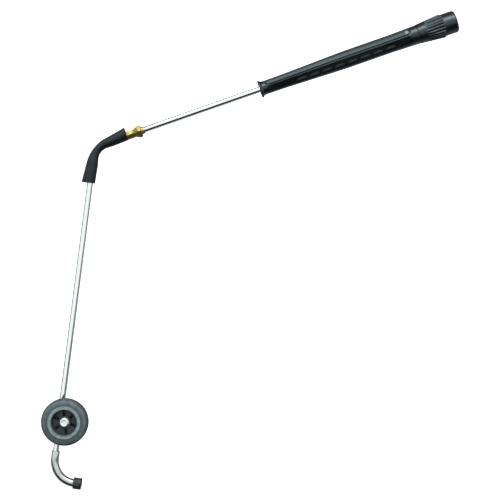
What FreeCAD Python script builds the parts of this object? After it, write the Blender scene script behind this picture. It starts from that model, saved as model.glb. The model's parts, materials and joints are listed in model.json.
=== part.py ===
"""Wheeled sprayer lance: twist-valve hand grip, bent two-piece lance, support wheel beside the nozzle.

Millimetres. The lance lies in the XZ plane with Z up, the wheel stands on the -Y side, and the origin is
the middle of the hand grip, on the axis of the upper pipe.
"""
import FreeCAD, Part
import os
from math import cos, pi, radians, sin, sqrt, tan

Vec = FreeCAD.Vector

# Lance layout
UPPER_TILT = 19.25         # upper pipe above the horizontal, degrees
LOWER_TILT = 7.26          # lower pipe off the vertical, degrees
CORNER_FROM_GRIP = 451.0   # grip middle to where the two pipe axes meet
AXLE_FROM_CORNER = 471.5   # that corner to the wheel axle, along the lower pipe
NOZZLE_FROM_CORNER = 577.7 # that corner to the nozzle axis, along the lower pipe
BEND_R = 39.0              # centre-line radius of the lower pipe's bend
PIPE_R = 5.0
PIPE_WALL = 1.0
FIT = 0.1                  # radial gap of a fixed fit
RUN = 0.05                 # radial gap of a running fit
END_PLAY = 0.2             # axial gap of a running fit

# Hand grip
GRIP_FRONT = -150.0        # all grip and valve stations run rearward from the grip's middle
GRIP_REAR = 137.0
FLANGE_R = 15.2
FLANGE_LONG = 5.0
NECK_R = 11.8
PALM_R = 15.2
REAR_R = 16.3
GRIP_WALL = 3.8
PANEL_FRONT = -138.0
PANEL_REAR = 124.0
PANEL_WIDE = 10.4
PANEL_DEEP = 1.2
PANEL_ANGLE = 35.0         # side panels above the horizontal mid-plane, degrees
SCALLOPS = 8
SCALLOP_PITCH = 22.9
SCALLOP_FIRST = -75.0
SCALLOP_DEEP = 1.6
SCREW_AT = 118.3
SCREW_R = 2.0
SCREW_HEAD_R = 3.65
SCREW_HEAD_LONG = 1.4
SCREW_SEAT = 13.8          # underside of the screw's head, from the grip's axis

# Valve
VALVE_R = 12.0
VALVE_FRONT = 94.0
VALVE_REAR = 134.0
VALVE_NECK_LONG = 10.0
VALVE_NECK_R = 8.0
CAVITY_R = 9.0
CAVITY_FRONT = 100.0
SEAL_LONG = 2.0
DISC_LONG = 4.0
DISC_PORT_IN = 2.6
DISC_PORT_OUT = 6.6
SPINDLE_FLANGE_LONG = 5.0
SPINDLE_R = 7.0
LUG_WIDE = 3.0
LUG_DEEP = 2.0
THRUST_LONG = 1.0
GLAND_HEX = 20.0
GLAND_HEAD_LONG = 4.0
RING_TUBE_R = 0.75
INLET_BORE_R = 3.5
DRIVE_HEX = 16.0
DRIVE_COLLAR_R = 10.0
NIPPLE_R = 6.58            # G 1/4 male
NIPPLE_LONG = 12.0
CLIP_INNER_R = 7.2
CLIP_LONG = 1.2
STRAINER_R = 4.5

# Twist sleeve
SLEEVE_FRONT = 137.6
SLEEVE_STEP = 181.5
SLEEVE_REAR = 206.4
SLEEVE_FRONT_R = 16.5
SLEEVE_WIDE_R = 20.6
SLEEVE_REAR_R = 19.0
SLEEVE_BORE_R = 15.4
SLEEVE_SKIRT_R = 13.0
WEB_FRONT = 148.0
WEB_LONG = 6.0
FLUTES = 24
FLUTE_R = 2.2
FLUTE_FRONT = 152.0
FLUTE_TILT = 1.4           # flutes rise towards the rear by less than the cone does, degrees

# Union between the two lances, stations on the upper axis
UNION_FACE = 78.0 - CORNER_FROM_GRIP
UNION_FRONT = UNION_FACE - 17.5
UNION_HEX_REAR = UNION_FACE - 5.5
UNION_REAR = UNION_FACE + 12.5
UNION_HEX = 14.0
UNION_THREAD_R = 6.5
UNION_NUT_HEX = 20.0
UNION_NUT_FRONT = UNION_FACE - 4.5
UNION_NUT_BACK = UNION_FACE + 7.5
UNION_TAIL_LONG = 3.3
UNION_NECK_R = 6.45
UNION_SOCKET = UNION_FACE - 7.5    # end of the lower pipe inside the union body
UNION_RING_R = 4.75

# Elbow sleeve
BOOT_TOP = 58.8 - CORNER_FROM_GRIP # station on the upper axis
BOOT_BOTTOM = 62.1         # station on the lower axis
BOOT_TOP_R = 11.5
BOOT_NECK_R = 9.0          # where the upper straight meets the bend
BOOT_BEND_R = 7.2
BOOT_HEEL_R = 10.0         # where the bend meets the lower straight
BOOT_BOTTOM_R = 11.75
BOOT_TOP_SHIFT = 3.6       # shifts are towards the outside of the bend
BOOT_NECK_SHIFT = -0.3
BOOT_HEEL_SHIFT = -0.05
BOOT_BOTTOM_SHIFT = 3.2

# Wheel and its clamp, stations run from the lance plane out to the wheel's face
AXLE_OFFSET = 12.0         # axle beside the pipe axis, on the inner side of the bend
WHEEL_R = 40.0
WHEEL_WIDE = 26.0
WHEEL_BACK = 10.0
BEAD_R = 28.5
BEAD_STEP = 0.8
TREAD_CORNER = 7.0
RIM_R = 22.2
RIM_WALL = 2.2
WEB_BACK = 12.0
WEB_FACE = 23.0
SLOT_FLOOR = 1.6           # wall left behind each blind slot between two webs
SPOKE_GAPS = 6
SPOKE_GAP_WIDE = 3.6
SPOKE_FIRST = 43.3         # first gap, from the inner side of the bend, degrees
BOSS_R = 10.5
BUSH_R = 7.5
AXLE_SLEEVE_R = 5.5
AXLE_SLEEVE_LONG = 18.2
BOLT_R = 4.0               # M8
BOLT_HEX = 13.0
BOLT_HEAD_LONG = 5.3
BOLT_LONG = 50.0
NUT_LONG = 8.0
WASHER_R = 7.5
WASHER_LONG = 1.6
CLAMP_HALF = 7.5
CLAMP_GAP = 0.5
CLAMP_TALL = 24.0
CLAMP_END = 9.0
CLAMP_SCREW_AT = -11.5
CLAMP_SCREW_R = 2.5        # M5
CLAMP_SCREW_HEX = 8.0
CLAMP_SCREW_HEAD = 3.5

# Nozzle, stations run from the lower pipe's axis towards the spray
NOZZLE_ARC_R = 38.0
NOZZLE_TUBE_R = 6.9
NOZZLE_SOCKET_LONG = 13.0
NOZZLE_SOCKET_DEEP = 10.0
NOZZLE_THREAD_END = 42.0
CAP_BACK = 36.5
CAP_FRONT = 50.7
CAP_R = 10.0
CAP_MOUTH_R = 4.0
CAP_GRIPS = 12
PACKING_LONG = 1.2
CORE_LONG = 3.2
ORIFICE_LONG = 1.8
ORIFICE_R = 0.6


def frame(origin, x_axis, z_axis):
    """A local frame: its own x and z axes given in the row frame."""
    return FreeCAD.Placement(origin, FreeCAD.Rotation(x_axis, z_axis.cross(x_axis), z_axis, "ZXY"))


BACKWARD = Vec(cos(radians(UPPER_TILT)), 0, sin(radians(UPPER_TILT)))
UPWARD = Vec(-BACKWARD.z, 0, BACKWARD.x)
DOWNWARD = Vec(-sin(radians(LOWER_TILT)), 0, -cos(radians(LOWER_TILT)))
INWARD = Vec(-DOWNWARD.z, 0, DOWNWARD.x)
TURN = 90.0 - UPPER_TILT - LOWER_TILT
CORNER = BACKWARD * -CORNER_FROM_GRIP
TANGENT = BEND_R * tan(radians(TURN / 2))

UPPER = frame(Vec(0, 0, 0), UPWARD, BACKWARD)
LOWER = frame(CORNER, INWARD, DOWNWARD)
AXLE = frame(CORNER + DOWNWARD * AXLE_FROM_CORNER + INWARD * AXLE_OFFSET, INWARD, Vec(0, -1, 0))
NOZZLE = frame(CORNER + DOWNWARD * NOZZLE_FROM_CORNER, DOWNWARD, INWARD)


def place(shape, where):
    shape = shape.copy()
    shape.Placement = where.multiply(shape.Placement)
    return shape


def cylinder(r, start, end, x=0.0, y=0.0):
    return Part.makeCylinder(r, end - start, Vec(x, y, start))


def ring(outer, inner, start, end, x=0.0, y=0.0):
    return cylinder(outer, start, end, x, y).cut(cylinder(inner, start, end, x, y))


def turned(points):
    """A solid of revolution about z from (radius, station) points."""
    wire = Part.makePolygon([Vec(r, 0, z) for r, z in points + points[:1]])
    return Part.Face(wire).revolve(Vec(0, 0, 0), Vec(0, 0, 1), 360)


def hexagon(flats, start, end, chamfer=0.0):
    """A hexagonal bar with a corner towards +y, its corners turned off by the chamfer at both ends."""
    corner = flats / sqrt(3)
    points = [Vec(corner * sin(pi * i / 3), corner * cos(pi * i / 3), start) for i in range(7)]
    bar = Part.Face(Part.makePolygon(points)).extrude(Vec(0, 0, end - start))
    if chamfer:
        rise = (corner - flats / 2 + chamfer) * tan(radians(30))
        low = flats / 2 - chamfer
        bar = bar.common(turned([(0, start), (low, start), (corner, start + rise), (corner, end - rise),
                                 (low, end), (0, end)]))
    return bar


def torus(r, station):
    return Part.makeTorus(r, RING_TUBE_R, Vec(0, 0, station))


def around(shape, count, first=0.0):
    """Copies of a shape spread evenly about z."""
    copies = []
    for i in range(count):
        copy = shape.copy()
        copy.rotate(Vec(0, 0, 0), Vec(0, 0, 1), first + 360.0 * i / count)
        copies.append(copy)
    return copies


def arc_rod(r, arc_r, turn):
    """A rod along an arc that leaves the z axis at the origin and curls towards +x."""
    disc = Part.Face(Part.Wire(Part.makeCircle(r, Vec(0, 0, 0), Vec(0, 0, 1))))
    return disc.revolve(Vec(arc_r, 0, 0), Vec(0, 1, 0), turn)


def bent_rod(r, top, bottom):
    """The lower pipe's line as a rod, from a station on the upper axis to one on the lower axis."""
    upper = place(cylinder(r, -CORNER_FROM_GRIP + TANGENT, top), UPPER)
    bend = bent_section(r)
    lower = place(cylinder(r, TANGENT, bottom), LOWER)
    return upper.fuse([bend, lower]).removeSplitter()


def bent_section(r):
    """The bend itself, turned about its centre from the lower tangent point to the upper one."""
    start = CORNER + DOWNWARD * TANGENT
    centre = start + INWARD * BEND_R
    disc = Part.Face(Part.Wire(Part.makeCircle(r, start, DOWNWARD)))
    return disc.revolve(centre, Vec(0, 1, 0), TURN)


# Hand grip and upper pipe

GRIP_LINE = [(NECK_R, GRIP_FRONT + 9), (12.2, -105), (13.5, -55), (14.6, -20), (PALM_R, 5), (PALM_R, 92),
             (REAR_R, GRIP_REAR)]


def side_panel(side):
    """The round-ended recess along one side of the grip; side is +1 or -1 across the lance plane."""
    deep = SLEEVE_WIDE_R
    half = PANEL_WIDE / 2
    box = Part.makeBox(deep, PANEL_WIDE, PANEL_REAR - PANEL_FRONT - PANEL_WIDE,
                       Vec(0, -half, PANEL_FRONT + half))
    ends = [Part.makeCylinder(half, deep, Vec(0, 0, z), Vec(1, 0, 0))
            for z in (PANEL_FRONT + half, PANEL_REAR - half)]
    cutter = box.fuse(ends)
    floor = turned([(0, GRIP_FRONT)] + [(r - PANEL_DEEP, z) for r, z in GRIP_LINE] + [(0, GRIP_REAR)])
    cutter.rotate(Vec(0, 0, 0), Vec(0, 0, 1), side * (90 - PANEL_ANGLE))
    return cutter.cut(floor)


def screw_direction(shape):
    shape = shape.copy()
    shape.rotate(Vec(0, 0, SCREW_AT), Vec(0, 1, 0), 90)
    shape.rotate(Vec(0, 0, SCREW_AT), Vec(0, 0, 1), 90 - PANEL_ANGLE)
    return shape


def grip_body():
    lip = [(0, GRIP_FRONT), (FLANGE_R - 0.8, GRIP_FRONT), (FLANGE_R, GRIP_FRONT + 0.8),
           (FLANGE_R - 0.6, GRIP_FRONT + FLANGE_LONG - 2), (NECK_R + 0.8, GRIP_FRONT + FLANGE_LONG)]
    body = turned(lip + GRIP_LINE + [(0, GRIP_REAR)])
    body = body.cut([side_panel(1), side_panel(-1)])
    for i in range(SCALLOPS):
        station = SCALLOP_FIRST + SCALLOP_PITCH * i
        r = scallop_r()
        reach = grip_radius(station) - SCALLOP_DEEP
        body = body.cut(Part.makeCylinder(r, 60, Vec(-reach - r, -30, station), Vec(0, 1, 0)))
    for r, start, end in ((PIPE_R + FIT, GRIP_FRONT, -138), (7.8, -138, -60), (9.3, -60, 5),
                          (PALM_R - GRIP_WALL, 5, VALVE_FRONT), (VALVE_R + FIT, VALVE_FRONT, GRIP_REAR)):
        body = body.cut(cylinder(r, start, end))
    hole = screw_direction(cylinder(SCREW_R + FIT, SCREW_AT, SCREW_AT + 20))
    seat = screw_direction(cylinder(SCREW_HEAD_R + FIT, SCREW_AT + SCREW_SEAT, SCREW_AT + 20))
    return place(body.cut([hole, seat]), UPPER)


def grip_radius(station):
    for (r0, z0), (r1, z1) in zip(GRIP_LINE, GRIP_LINE[1:]):
        if z0 <= station <= z1:
            return r0 + (r1 - r0) * (station - z0) / (z1 - z0)
    return REAR_R


def scallop_r():
    """Radius of a finger hollow whose chord is most of the pitch at its depth."""
    half_chord = SCALLOP_PITCH * 0.46
    return (half_chord ** 2 + SCALLOP_DEEP ** 2) / (2 * SCALLOP_DEEP)


def grip_screw():
    head = cylinder(SCREW_HEAD_R, SCREW_AT + SCREW_SEAT, SCREW_AT + SCREW_SEAT + SCREW_HEAD_LONG)
    shank = cylinder(SCREW_R, SCREW_AT + CAVITY_R + 1.0, SCREW_AT + SCREW_SEAT)
    top = SCREW_AT + SCREW_SEAT + SCREW_HEAD_LONG
    slot = Part.makeBox(2 * SCREW_HEAD_R, 0.9, 0.8, Vec(-SCREW_HEAD_R, -0.45, top - 0.7))
    return place(screw_direction(head.fuse(shank).cut(slot)), UPPER)


def upper_pipe():
    start = UNION_FACE + 1.2
    return place(ring(PIPE_R, PIPE_R - PIPE_WALL, start, VALVE_FRONT - 2), UPPER)


# Twist valve

SEAL_FRONT = CAVITY_FRONT
FIXED_FRONT = SEAL_FRONT + SEAL_LONG
TURNING_FRONT = FIXED_FRONT + DISC_LONG
FLANGE_FRONT = TURNING_FRONT + DISC_LONG
THRUST_FRONT = FLANGE_FRONT + SPINDLE_FLANGE_LONG
GLAND_FRONT = THRUST_FRONT + THRUST_LONG
DISC_R = CAVITY_R - RUN
RING_STATIONS = (GLAND_FRONT + 4, GLAND_FRONT + 9)
NIPPLE_FRONT = WEB_FRONT + WEB_LONG + 6
NIPPLE_REAR = NIPPLE_FRONT + NIPPLE_LONG


def valve_housing():
    body = cylinder(VALVE_R, VALVE_FRONT, VALVE_REAR)
    body = body.fuse(cylinder(VALVE_NECK_R, VALVE_FRONT - VALVE_NECK_LONG, VALVE_FRONT))
    body = body.cut([
        cylinder(PIPE_R, VALVE_FRONT - VALVE_NECK_LONG, VALVE_FRONT - 2),
        cylinder(PIPE_R - PIPE_WALL, VALVE_FRONT - 2, CAVITY_FRONT),
        cylinder(CAVITY_R, CAVITY_FRONT, VALVE_REAR),
        screw_direction(cylinder(SCREW_R, SCREW_AT + CAVITY_R + 1.0, SCREW_AT + VALVE_R + 1)),
    ])
    return place(body, UPPER)


def sector_port(start, end, middle):
    """A quarter-ring port through a disc, centred on an angle about z."""
    port = ring(DISC_PORT_OUT, DISC_PORT_IN, start, end)
    wedge = Part.makeCylinder(DISC_R, end - start, Vec(0, 0, start), Vec(0, 0, 1), 80)
    wedge.rotate(Vec(0, 0, 0), Vec(0, 0, 1), middle - 40)
    return port.common(wedge)


def disc_seal():
    return place(ring(DISC_R, PIPE_R, SEAL_FRONT, FIXED_FRONT), UPPER)


def fixed_disc():
    disc = cylinder(DISC_R, FIXED_FRONT, TURNING_FRONT)
    ports = [sector_port(FIXED_FRONT, TURNING_FRONT, middle) for middle in (0, 180)]
    return place(disc.cut(ports), UPPER)


def drive_lugs(gap):
    """Two lugs on the spindle's front that sit in two notches of the turning disc."""
    half = LUG_WIDE / 2 + gap
    deep = LUG_DEEP + gap
    bar = Part.makeBox(2 * DISC_R, 2 * half, deep, Vec(-DISC_R, -half, FLANGE_FRONT - deep))
    bar = bar.common(cylinder(DISC_R, FLANGE_FRONT - deep, FLANGE_FRONT))
    return bar.cut(cylinder(DISC_PORT_OUT - gap, FLANGE_FRONT - deep, FLANGE_FRONT))


def turning_disc():
    disc = cylinder(DISC_R, TURNING_FRONT, FLANGE_FRONT)
    ports = [sector_port(TURNING_FRONT, FLANGE_FRONT, middle) for middle in (90, 270)]
    return place(disc.cut(ports + [drive_lugs(FIT)]), UPPER)


def inlet_spindle():
    body = cylinder(DISC_R, FLANGE_FRONT, THRUST_FRONT)
    body = body.fuse([
        drive_lugs(0),
        cylinder(SPINDLE_R, THRUST_FRONT, WEB_FRONT - 2),
        cylinder(DRIVE_COLLAR_R, WEB_FRONT - 2, WEB_FRONT),
        hexagon(DRIVE_HEX, WEB_FRONT, NIPPLE_FRONT),
        turned([(0, NIPPLE_FRONT), (NIPPLE_R, NIPPLE_FRONT), (NIPPLE_R, NIPPLE_REAR - 1),
                (NIPPLE_R - 1, NIPPLE_REAR), (0, NIPPLE_REAR)]),
    ])
    clip_front = WEB_FRONT + WEB_LONG + END_PLAY
    body = body.cut([
        cylinder(INLET_BORE_R, FLANGE_FRONT + 2, NIPPLE_REAR),
        cylinder(DISC_PORT_OUT - FIT, FLANGE_FRONT, FLANGE_FRONT + 2),
        cylinder(STRAINER_R + FIT, NIPPLE_FRONT - 2, NIPPLE_REAR),
        ring(DRIVE_HEX, CLIP_INNER_R, clip_front, clip_front + CLIP_LONG),
    ] + [ring(SPINDLE_R + 1, SPINDLE_R - 2 * RING_TUBE_R, z - RING_TUBE_R, z + RING_TUBE_R)
         for z in RING_STATIONS])
    return place(body, UPPER)


def spindle_o_rings():
    rings = [torus(SPINDLE_R - RING_TUBE_R + RUN / 2, z) for z in RING_STATIONS]
    return place(Part.makeCompound(rings), UPPER)


def thrust_washer():
    return place(ring(DISC_R, SPINDLE_R + RUN, THRUST_FRONT, GLAND_FRONT), UPPER)


def gland_nut():
    body = cylinder(CAVITY_R - RUN, GLAND_FRONT, VALVE_REAR)
    body = body.fuse(hexagon(GLAND_HEX, VALVE_REAR, VALVE_REAR + GLAND_HEAD_LONG, 0.5))
    return place(body.cut(cylinder(SPINDLE_R + RUN, GLAND_FRONT, VALVE_REAR + GLAND_HEAD_LONG)), UPPER)


def twist_sleeve():
    body = turned([(0, SLEEVE_FRONT), (SLEEVE_FRONT_R, SLEEVE_FRONT), (SLEEVE_WIDE_R, SLEEVE_STEP - 1.2),
                   (SLEEVE_WIDE_R, SLEEVE_STEP), (SLEEVE_REAR_R, SLEEVE_STEP + 1.2),
                   (SLEEVE_REAR_R, SLEEVE_REAR - 2), (SLEEVE_REAR_R - 1.6, SLEEVE_REAR), (0, SLEEVE_REAR)])
    cone_rise = (SLEEVE_WIDE_R - SLEEVE_FRONT_R) / (SLEEVE_STEP - 1.2 - SLEEVE_FRONT)
    floor = SLEEVE_FRONT_R + (FLUTE_FRONT - SLEEVE_FRONT) * cone_rise
    flute = cylinder(FLUTE_R, FLUTE_FRONT, SLEEVE_STEP + 3, floor + FLUTE_R)
    flute.rotate(Vec(floor, 0, FLUTE_FRONT), Vec(0, 1, 0), FLUTE_TILT)
    body = body.cut(around(flute, FLUTES))
    body = body.cut([
        cylinder(SLEEVE_SKIRT_R, SLEEVE_FRONT, WEB_FRONT),
        hexagon(DRIVE_HEX + 2 * FIT, WEB_FRONT, WEB_FRONT + WEB_LONG),
        cylinder(SLEEVE_BORE_R, WEB_FRONT + WEB_LONG, SLEEVE_REAR),
    ])
    return place(body, UPPER)


def sleeve_clip():
    start = WEB_FRONT + WEB_LONG + END_PLAY
    clip = ring(DRIVE_COLLAR_R + 1.0, CLIP_INNER_R, start, start + CLIP_LONG)
    mouth = Part.makeBox(20, 4, CLIP_LONG, Vec(0, -2, start))
    return place(clip.cut(mouth), UPPER)


def inlet_strainer():
    front = NIPPLE_FRONT - 2
    cup = cylinder(STRAINER_R, front, NIPPLE_REAR - 1)
    return place(cup.cut(cylinder(STRAINER_R - 0.6, front + 0.6, NIPPLE_REAR - 1)), UPPER)


# Union between the two lances

def union_body():
    body = hexagon(UNION_HEX, UNION_FRONT, UNION_HEX_REAR, 0.3)
    body = body.fuse(cylinder(UNION_THREAD_R, UNION_HEX_REAR, UNION_FACE))
    body = body.cut([
        cylinder(PIPE_R, UNION_FRONT, UNION_SOCKET),
        cylinder(PIPE_R - PIPE_WALL, UNION_SOCKET, UNION_FACE),
        cylinder(UNION_RING_R + RING_TUBE_R, UNION_FACE - 2 * RING_TUBE_R, UNION_FACE),
    ])
    return place(body, UPPER)


def union_o_ring():
    return place(torus(UNION_RING_R, UNION_FACE - RING_TUBE_R), UPPER)


def union_tail():
    front = UNION_FACE + END_PLAY
    body = cylinder(UNION_THREAD_R - FIT, front, front + UNION_TAIL_LONG)
    body = body.cut([
        cylinder(PIPE_R - PIPE_WALL, front, UNION_FACE + 1.2),
        cylinder(PIPE_R, UNION_FACE + 1.2, front + UNION_TAIL_LONG),
    ])
    return place(body, UPPER)


def union_nut():
    seat = UNION_FACE + END_PLAY + UNION_TAIL_LONG
    nose = turned([(0, UNION_NUT_FRONT), (UNION_THREAD_R + 1.4, UNION_NUT_FRONT),
                   (UNION_NUT_HEX / 2 - 1, UNION_FACE), (0, UNION_FACE)])
    body = nose.fuse([
        hexagon(UNION_NUT_HEX, UNION_FACE, UNION_NUT_BACK, 0.6),
        cylinder(UNION_NECK_R, UNION_NUT_BACK, UNION_REAR),
    ])
    body = body.cut([
        cylinder(UNION_THREAD_R + RUN, UNION_NUT_FRONT, seat),
        cylinder(PIPE_R + FIT, seat, UNION_REAR),
    ])
    return place(body, UPPER)


# Lower pipe and elbow sleeve

NOZZLE_ARC_START = NOZZLE_FROM_CORNER - NOZZLE_ARC_R
NOZZLE_SOCKET_START = NOZZLE_ARC_START - NOZZLE_SOCKET_LONG
PIPE_END = NOZZLE_SOCKET_START + NOZZLE_SOCKET_DEEP


def lower_pipe():
    outer = bent_rod(PIPE_R, UNION_SOCKET, PIPE_END)
    return outer.cut(bent_rod(PIPE_R - PIPE_WALL, UNION_SOCKET, PIPE_END))


def between(a, b, part):
    return a + (b - a) * part


def boot_sections():
    """Circles along the boot, from its top end round the bend to its bottom end."""
    sections = []
    top_run = -CORNER_FROM_GRIP + TANGENT
    for part in (0.0, 0.3, 0.6, 0.85):
        shift = between(BOOT_TOP_SHIFT, BOOT_NECK_SHIFT, part)
        point = BACKWARD * between(BOOT_TOP, top_run, part) + UPWARD * shift
        sections.append((point, BACKWARD, between(BOOT_TOP_R, BOOT_NECK_R, part)))
    centre = CORNER + DOWNWARD * TANGENT + INWARD * BEND_R
    for part in (0.1, 0.3, 0.5, 0.7, 0.9):
        end_r, end_shift = (BOOT_NECK_R, BOOT_NECK_SHIFT) if part < 0.5 else (BOOT_HEEL_R, BOOT_HEEL_SHIFT)
        flare = (2 * part - 1) ** 2
        angle = radians(90 + UPPER_TILT + TURN * part)
        out = Vec(cos(angle), 0, sin(angle))
        point = centre + out * (BEND_R + end_shift * flare)
        sections.append((point, Vec(out.z, 0, -out.x), between(BOOT_BEND_R, end_r, flare)))
    for part in (0.15, 0.4, 0.7, 1.0):
        shift = between(BOOT_HEEL_SHIFT, BOOT_BOTTOM_SHIFT, part)
        point = CORNER + DOWNWARD * between(TANGENT, BOOT_BOTTOM, part) - INWARD * shift
        sections.append((point, DOWNWARD * -1, between(BOOT_HEEL_R, BOOT_BOTTOM_R, part)))
    return sections


def elbow_sleeve():
    wires = [Part.Wire(Part.makeCircle(r, point, normal)) for point, normal, r in boot_sections()]
    boot = Part.makeLoft(wires, True, False)
    return boot.cut(bent_rod(PIPE_R + FIT, BOOT_TOP + 1, BOOT_BOTTOM + 1))


# Wheel, axle and clamp

SLEEVE_BACK = CLAMP_HALF + WASHER_LONG
SLEEVE_FACE = SLEEVE_BACK + AXLE_SLEEVE_LONG
HEAD_SEAT = SLEEVE_FACE + WASHER_LONG
NUT_SEAT = -CLAMP_HALF - WASHER_LONG


def tyre():
    back, face = WHEEL_BACK, WHEEL_BACK + WHEEL_WIDE
    side = TREAD_CORNER
    half = [(BEAD_R - 0.6, 0.0), (BEAD_R, 0.5), (BEAD_R + 0.6, BEAD_STEP + 0.4),
            (WHEEL_R - side + 0.5, BEAD_STEP + 1.0)]
    curve = [(WHEEL_R - side + side * sin(radians(a)), BEAD_STEP + 1.0 + side * 0.75 * (1 - cos(radians(a))))
             for a in (25, 45, 65, 90)]
    outline = half + curve
    points = [(RIM_R, back)] + [(r, back + z) for r, z in outline]
    points += [(r, face - z) for r, z in reversed(outline)] + [(RIM_R, face)]
    return place(turned(points), AXLE)


def wheel_hub():
    back, face = WHEEL_BACK + 0.5, WHEEL_BACK + WHEEL_WIDE - 1.0
    web = cylinder(RIM_R - RIM_WALL, WEB_BACK, WEB_FACE)
    gap = Part.makeBox(RIM_R - RIM_WALL - BOSS_R - 0.4, SPOKE_GAP_WIDE, WEB_FACE - WEB_BACK,
                       Vec(BOSS_R + 0.2, -SPOKE_GAP_WIDE / 2, WEB_BACK + SLOT_FLOOR))
    web = web.cut(around(gap, SPOKE_GAPS, SPOKE_FIRST))
    rim = ring(RIM_R, RIM_R - RIM_WALL, back, face)
    boss = cylinder(BOSS_R, SLEEVE_BACK + END_PLAY, SLEEVE_FACE - END_PLAY)
    hub = rim.fuse([web, boss])
    return place(hub.cut(cylinder(BUSH_R, SLEEVE_BACK, SLEEVE_FACE)), AXLE)


def wheel_bush():
    return place(ring(BUSH_R, AXLE_SLEEVE_R + RUN, SLEEVE_BACK + END_PLAY, SLEEVE_FACE - END_PLAY), AXLE)


def axle_sleeve():
    return place(ring(AXLE_SLEEVE_R, BOLT_R + FIT, SLEEVE_BACK, SLEEVE_FACE), AXLE)


def axle_bolt():
    head = hexagon(BOLT_HEX, HEAD_SEAT, HEAD_SEAT + BOLT_HEAD_LONG, 0.3)
    shank = cylinder(BOLT_R, HEAD_SEAT - BOLT_LONG, HEAD_SEAT)
    return place(head.fuse(shank), AXLE)


def axle_washers():
    seats = (SLEEVE_FACE, CLAMP_HALF, NUT_SEAT)
    return place(Part.makeCompound([ring(WASHER_R, BOLT_R + FIT, z, z + WASHER_LONG) for z in seats]), AXLE)


def axle_lock_nut():
    nut = hexagon(BOLT_HEX, NUT_SEAT - NUT_LONG + 1.8, NUT_SEAT, 0.3)
    collar = cylinder(BOLT_HEX / 2 - 0.6, NUT_SEAT - NUT_LONG, NUT_SEAT - NUT_LONG + 1.8)
    return place(nut.fuse(collar).cut(cylinder(BOLT_R, NUT_SEAT - NUT_LONG, NUT_SEAT)), AXLE)


def clamp_half(side):
    """One half of the pipe clamp; side +1 faces the wheel, -1 lies behind the lance."""
    low = CLAMP_SCREW_AT - CLAMP_END
    wide = AXLE_OFFSET + CLAMP_END - low
    deep = CLAMP_HALF - CLAMP_GAP
    start = CLAMP_GAP if side > 0 else -CLAMP_HALF
    block = Part.makeBox(wide, deep, CLAMP_TALL, Vec(low, start, AXLE_FROM_CORNER - CLAMP_TALL / 2))
    upright = [e for e in block.Edges if abs(e.Vertexes[0].X - e.Vertexes[1].X) < FIT
               and abs(e.Vertexes[0].Z - e.Vertexes[1].Z) < FIT]
    block = block.makeFillet(4.0, upright)
    holes = [Part.makeCylinder(r, 40, Vec(x, -20, AXLE_FROM_CORNER), Vec(0, 1, 0))
             for r, x in ((BOLT_R + FIT, AXLE_OFFSET), (CLAMP_SCREW_R + FIT, CLAMP_SCREW_AT))]
    pipe = cylinder(PIPE_R, AXLE_FROM_CORNER - CLAMP_TALL, AXLE_FROM_CORNER + CLAMP_TALL)
    return place(block.cut(holes + [pipe]), LOWER)


def clamp_screw_frame():
    spot = CORNER + DOWNWARD * AXLE_FROM_CORNER + INWARD * CLAMP_SCREW_AT
    return frame(spot, INWARD, Vec(0, 1, 0))


def clamp_screw():
    """It enters from behind, so that its head is clear of the wheel."""
    head = hexagon(CLAMP_SCREW_HEX, CLAMP_HALF, CLAMP_HALF + CLAMP_SCREW_HEAD, 0.2)
    shank = cylinder(CLAMP_SCREW_R, -CLAMP_HALF + 1.0, CLAMP_HALF)
    return place(head.fuse(shank), clamp_screw_frame())


# Nozzle

def nozzle_rod(r, socket_r):
    """The elbow's line as a rod: a straight socket, the quarter arc and the outlet."""
    straight = place(cylinder(socket_r, NOZZLE_SOCKET_START, NOZZLE_ARC_START), LOWER)
    start = frame(CORNER + DOWNWARD * NOZZLE_ARC_START, INWARD, DOWNWARD)
    return straight.fuse(place(arc_rod(r, NOZZLE_ARC_R, 90), start)).removeSplitter()


def nozzle_elbow():
    outer = nozzle_rod(NOZZLE_TUBE_R, NOZZLE_TUBE_R)
    outer = outer.fuse(place(cylinder(NIPPLE_R, NOZZLE_ARC_R, NOZZLE_THREAD_END), NOZZLE))
    bore = nozzle_rod(PIPE_R - PIPE_WALL, PIPE_R - PIPE_WALL)
    outlet = place(cylinder(PIPE_R - PIPE_WALL, NOZZLE_ARC_R, NOZZLE_THREAD_END), NOZZLE)
    socket = place(cylinder(PIPE_R, NOZZLE_SOCKET_START, PIPE_END), LOWER)
    return outer.cut([bore, outlet, socket])


PACKING_BACK = NOZZLE_THREAD_END
CORE_BACK = PACKING_BACK + PACKING_LONG
ORIFICE_BACK = CORE_BACK + CORE_LONG
ORIFICE_FACE = ORIFICE_BACK + ORIFICE_LONG
CAP_POCKET_R = NOZZLE_TUBE_R + FIT


def nozzle_packing():
    return place(ring(NIPPLE_R - FIT, PIPE_R - PIPE_WALL, PACKING_BACK, CORE_BACK), NOZZLE)


def swirl_core():
    core = cylinder(NIPPLE_R - FIT, CORE_BACK, ORIFICE_BACK)
    core = core.cut(cylinder(NIPPLE_R - 2, ORIFICE_BACK - 1.2, ORIFICE_BACK))
    hole = Part.makeCylinder(0.7, 8, Vec(3.0, 0, CORE_BACK - 1), Vec(0, 0.7, 1))
    return place(core.cut(around(hole, 2)), NOZZLE)


def orifice_disc():
    disc = ring(NIPPLE_R - FIT, ORIFICE_R, ORIFICE_BACK, ORIFICE_FACE)
    return place(disc, NOZZLE)


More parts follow.
